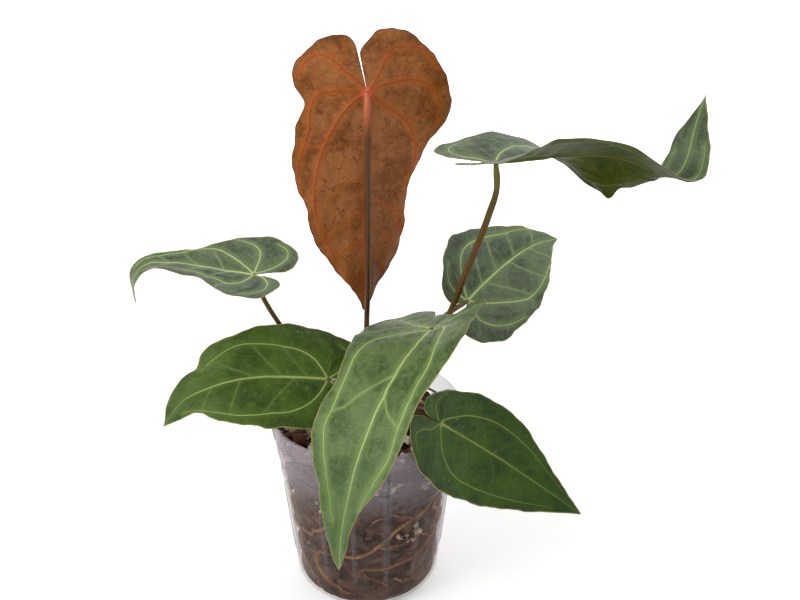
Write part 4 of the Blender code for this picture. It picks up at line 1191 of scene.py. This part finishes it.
# The upper-side palettes are lighter and darker copies of one green: partly the blades' own colours, partly
# painted light. The paler greys of the front blade's palette, and of the dusky one on the upper blades, stand
# for the sheen that falls on those blades.
GREEN_TOP = dict(
    dark=(0.030, 0.070, 0.010), mid=(0.100, 0.160, 0.045), pale=(0.180, 0.245, 0.095),
    net_color=(0.20, 0.29, 0.11), halo_color=(0.200, 0.300, 0.085), side_color=(0.32, 0.41, 0.15),
    main_color=(0.44, 0.54, 0.18), heart_color=(0.45, 0.52, 0.13), margin_color=(0.42, 0.33, 0.10),
    net=0.30, net_size=7.0, net_warp=6.0, net_width=0.05, halo=0.7, side=0.75, main=0.95, heart=0.3,
    heart_reach=0.12, margin=0.7, tip=0.5, cells=0.10, specks=0.5, rough=0.42, cell_relief=0.35,
    # tip is the strength of the painted shade towards the tip.
    vein_lift=-0.9,
)
DUSKY_TOP = dict(
    GREEN_TOP, dark=(0.012, 0.030, 0.005), mid=(0.066, 0.108, 0.034), pale=(0.160, 0.205, 0.100), tip=0.15,
    net_color=(0.15, 0.21, 0.09), halo_color=(0.150, 0.220, 0.075), side_color=(0.26, 0.33, 0.14),
)
DEEP_TOP = dict(
    GREEN_TOP, dark=(0.018, 0.048, 0.001), mid=(0.052, 0.105, 0.004), pale=(0.110, 0.170, 0.025),
    net_color=(0.09, 0.15, 0.03), halo_color=(0.085, 0.150, 0.022), side_color=(0.15, 0.22, 0.05),
    main_color=(0.33, 0.42, 0.11), specks=0.9,
)
GREEN_UNDER = dict(
    GREEN_TOP, dark=(0.010, 0.026, 0.0), mid=(0.032, 0.046, 0.0), pale=(0.075, 0.080, 0.008),
    net_color=(0.02, 0.03, 0.0), halo_color=(0.045, 0.058, 0.002), side_color=(0.055, 0.062, 0.004),
    main_color=(0.10, 0.095, 0.015), heart_color=(0.25, 0.18, 0.06), margin_color=(0.12, 0.08, 0.03),
    specks=0.0, rough=0.40, cell_relief=0.15, vein_lift=0.9,
)
GLOSSY_TOP = dict(
    GREEN_TOP, dark=(0.009, 0.034, 0.0), mid=(0.032, 0.080, 0.0), pale=(0.065, 0.130, 0.002),
    halo_color=(0.045, 0.090, 0.006), side_color=(0.055, 0.100, 0.010), main_color=(0.20, 0.27, 0.04),
    net_color=(0.04, 0.08, 0.005), halo=0.45, side=0.5, main=0.8, net=0.15, rough=0.36, cells=0.06,
    specks=0.8,
)
COPPER_UNDER = dict(
    dark=(0.150, 0.042, 0.002), mid=(0.265, 0.092, 0.022), pale=(0.36, 0.150, 0.058),
    net_color=(0.080, 0.020, 0.003), halo_color=(0.36, 0.095, 0.012), side_color=(0.25, 0.050, 0.008),
    main_color=(0.31, 0.050, 0.012), heart_color=(0.74, 0.12, 0.06), margin_color=(0.15, 0.028, 0.008),
    net=0.85, net_size=11.0, net_warp=9.0, net_width=0.030, halo=0.6, side=0.75, main=0.85, heart=0.9,
    heart_reach=0.12, margin=0.8, tip=0.0, cells=0.08, specks=0.0, rough=0.34, cell_relief=0.12,
    vein_lift=0.9,
)
COPPER_TOP = dict(
    COPPER_UNDER, dark=(0.085, 0.032, 0.012), mid=(0.150, 0.062, 0.024), pale=(0.21, 0.10, 0.04), net=0.4,
    main_color=(0.42, 0.17, 0.07), side_color=(0.30, 0.12, 0.05), vein_lift=-0.9,
)
SOFT = {
    "Sheen Weight": 0.22, "Sheen Roughness": 0.3, "Sheen Tint": (0.90, 0.92, 0.80),
    "Specular IOR Level": 0.25,
}
VELVET = {
    "Sheen Weight": 0.5, "Sheen Roughness": 0.22, "Sheen Tint": (0.96, 0.88, 0.94),
    "Specular IOR Level": 0.45,
}
SMOOTH = {"Specular IOR Level": 0.07}
COPPERY = {"Specular IOR Level": 0.14}
GLOSS = {"Specular IOR Level": 0.28}
green_top = leaf_look("green_velvet_top", GREEN_TOP, SOFT)
green_under = leaf_look("green_smooth_under", GREEN_UNDER, SMOOTH)
glossy_top = leaf_look("green_gloss_top", GLOSSY_TOP, GLOSS)
deep_top = leaf_look("green_deep_top", DEEP_TOP, SOFT)
dusky_top = leaf_look("green_dusky_top", DUSKY_TOP, VELVET)
copper_top = leaf_look("copper_velvet_top", COPPER_TOP, VELVET)
copper_under = leaf_look("copper_smooth_under", COPPER_UNDER, COPPERY)
BLADE_LOOKS = {
    "copper": (copper_top, copper_under), "upper_right": (dusky_top, green_under),
    "middle_right": (dusky_top, green_under), "upper_left": (dusky_top, green_under),
    "lower_left": (deep_top, green_under), "front": (green_top, green_under),
    "lower_right": (glossy_top, green_under),
}

mix_surface = mix_top_at(0)
for name, leaf in LEAVES.items():
    sheet = make_blade(name, leaf, BLADE_LOOKS[name], "copper_leaf" if name == "copper" else "green_leaf")
    thickness, azimuth, waypoints = STALKS[name]
    if azimuth is None:
        foot = np.array([0, 0, STEM_TOP + CLEARANCE])
    else:
        foot = on_cylinder(STALK_CIRCLE, azimuth, mix_surface + CLEARANCE)
    junction = np.array(leaf["junction"], float) - 0.35 * sheet.normal(0.0, 0.0)
    path = along([foot, foot + (0, 0, STALK_RISE), *waypoints, junction], STALK_RINGS)
    share = np.linspace(0, 1, STALK_RINGS)
    taper = [(0, STALK_FOOT_RADIUS), (0.15, STALK_RADIUS), (0.9, STALK_RADIUS), (1, STALK_END_RADIUS)]
    radii = thickness * through(taper, share)
    points, faces = rod(path, radii, STALK_SIDES, stalk_section)
    look = stalk_looks["copper" if name == "copper" else "olive"]
    stalk_piece = piece(f"stalk_{name}", points, faces, look, [f"petiole_{name}"])
    store(stalk_piece, "along", np.concatenate([np.repeat(share, STALK_SIDES), [0.0, 1.0]]))

# ---------------------------------------------------------------- floor and light
# A plain white floor that glows by itself as painted light, and less near the pot as painted shade, under a
# dim even surround. The lamps are soft squares: a large key at the upper left, a weaker one at the right,
# faint ones in front and above, and a broad one behind.
FLOOR_HALF = 3.0
FLOOR_DROP = 0.0003
FLOOR_GLOW = 1.0
PLANT_MIDDLE = (0.0, 0.0, 0.2)
LAMPS = {  # place, side length, watts
    "key": ((-1.15, -0.55, 1.05), 1.0, 19),
    "side": ((0.95, 0.35, 1.1), 0.9, 8),
    "front": ((0.5, -1.4, 0.7), 0.8, 4),
    "top": ((0.0, 0.1, 1.7), 0.8, 4),
    "backdrop": ((0.0, 1.7, 1.0), 2.0, 14),
}

floor_mesh = bpy.data.meshes.new("floor")
floor_signs = ((-1, -1), (1, -1), (1, 1), (-1, 1))
floor_corners = [(FLOOR_HALF * x, FLOOR_HALF * y, -FLOOR_DROP) for x, y in floor_signs]
floor_mesh.from_pydata(floor_corners, [], [(0, 1, 2, 3)])
floor_finish = {"Base Color": (0.88, 0.88, 0.875), "Roughness": 0.8, "Emission Strength": FLOOR_GLOW}
floor_look = Look("white_floor", floor_finish)
floor_away = floor_look.node("ShaderNodeVectorMath", {"operation": "LENGTH"}, {0: floor_look.place()})
floor_away = Value(floor_look, floor_away.outputs["Value"])
# Painted light: the floor glows by itself, and glows less near the pot as a painted shade round its foot.
floor_painted_glow = floor_look.blend(floor_away.rise(0.1, 1.1), (0.35, 0.35, 0.35), (0.95, 0.95, 0.95))
floor_look.feed(floor_look.shader.inputs["Emission Color"], floor_painted_glow)
floor_mesh.materials.append(floor_look.material)
floor = bpy.data.objects.new("floor", floor_mesh)
scene.collection.objects.link(floor)

world = bpy.data.worlds.new("dim_surround")
world.use_nodes = True
world.node_tree.nodes["Background"].inputs["Color"].default_value = (1.0, 1.0, 0.995, 1.0)
world.node_tree.nodes["Background"].inputs["Strength"].default_value = 0.2
scene.world = world
scene.view_settings.view_transform = "Standard"

for light_name, (place, size, power) in LAMPS.items():
    lamp = bpy.data.lights.new(light_name, "AREA")
    lamp.size = size
    lamp.energy = power
    light = bpy.data.objects.new(light_name, lamp)
    light.location = place
    toward = np.array(PLANT_MIDDLE) - np.array(place)
    level = math.hypot(toward[0], toward[1])
    light.rotation_euler = (math.atan2(level, -toward[2]), 0, math.atan2(toward[1], toward[0]) - math.pi / 2)
    scene.collection.objects.link(light)
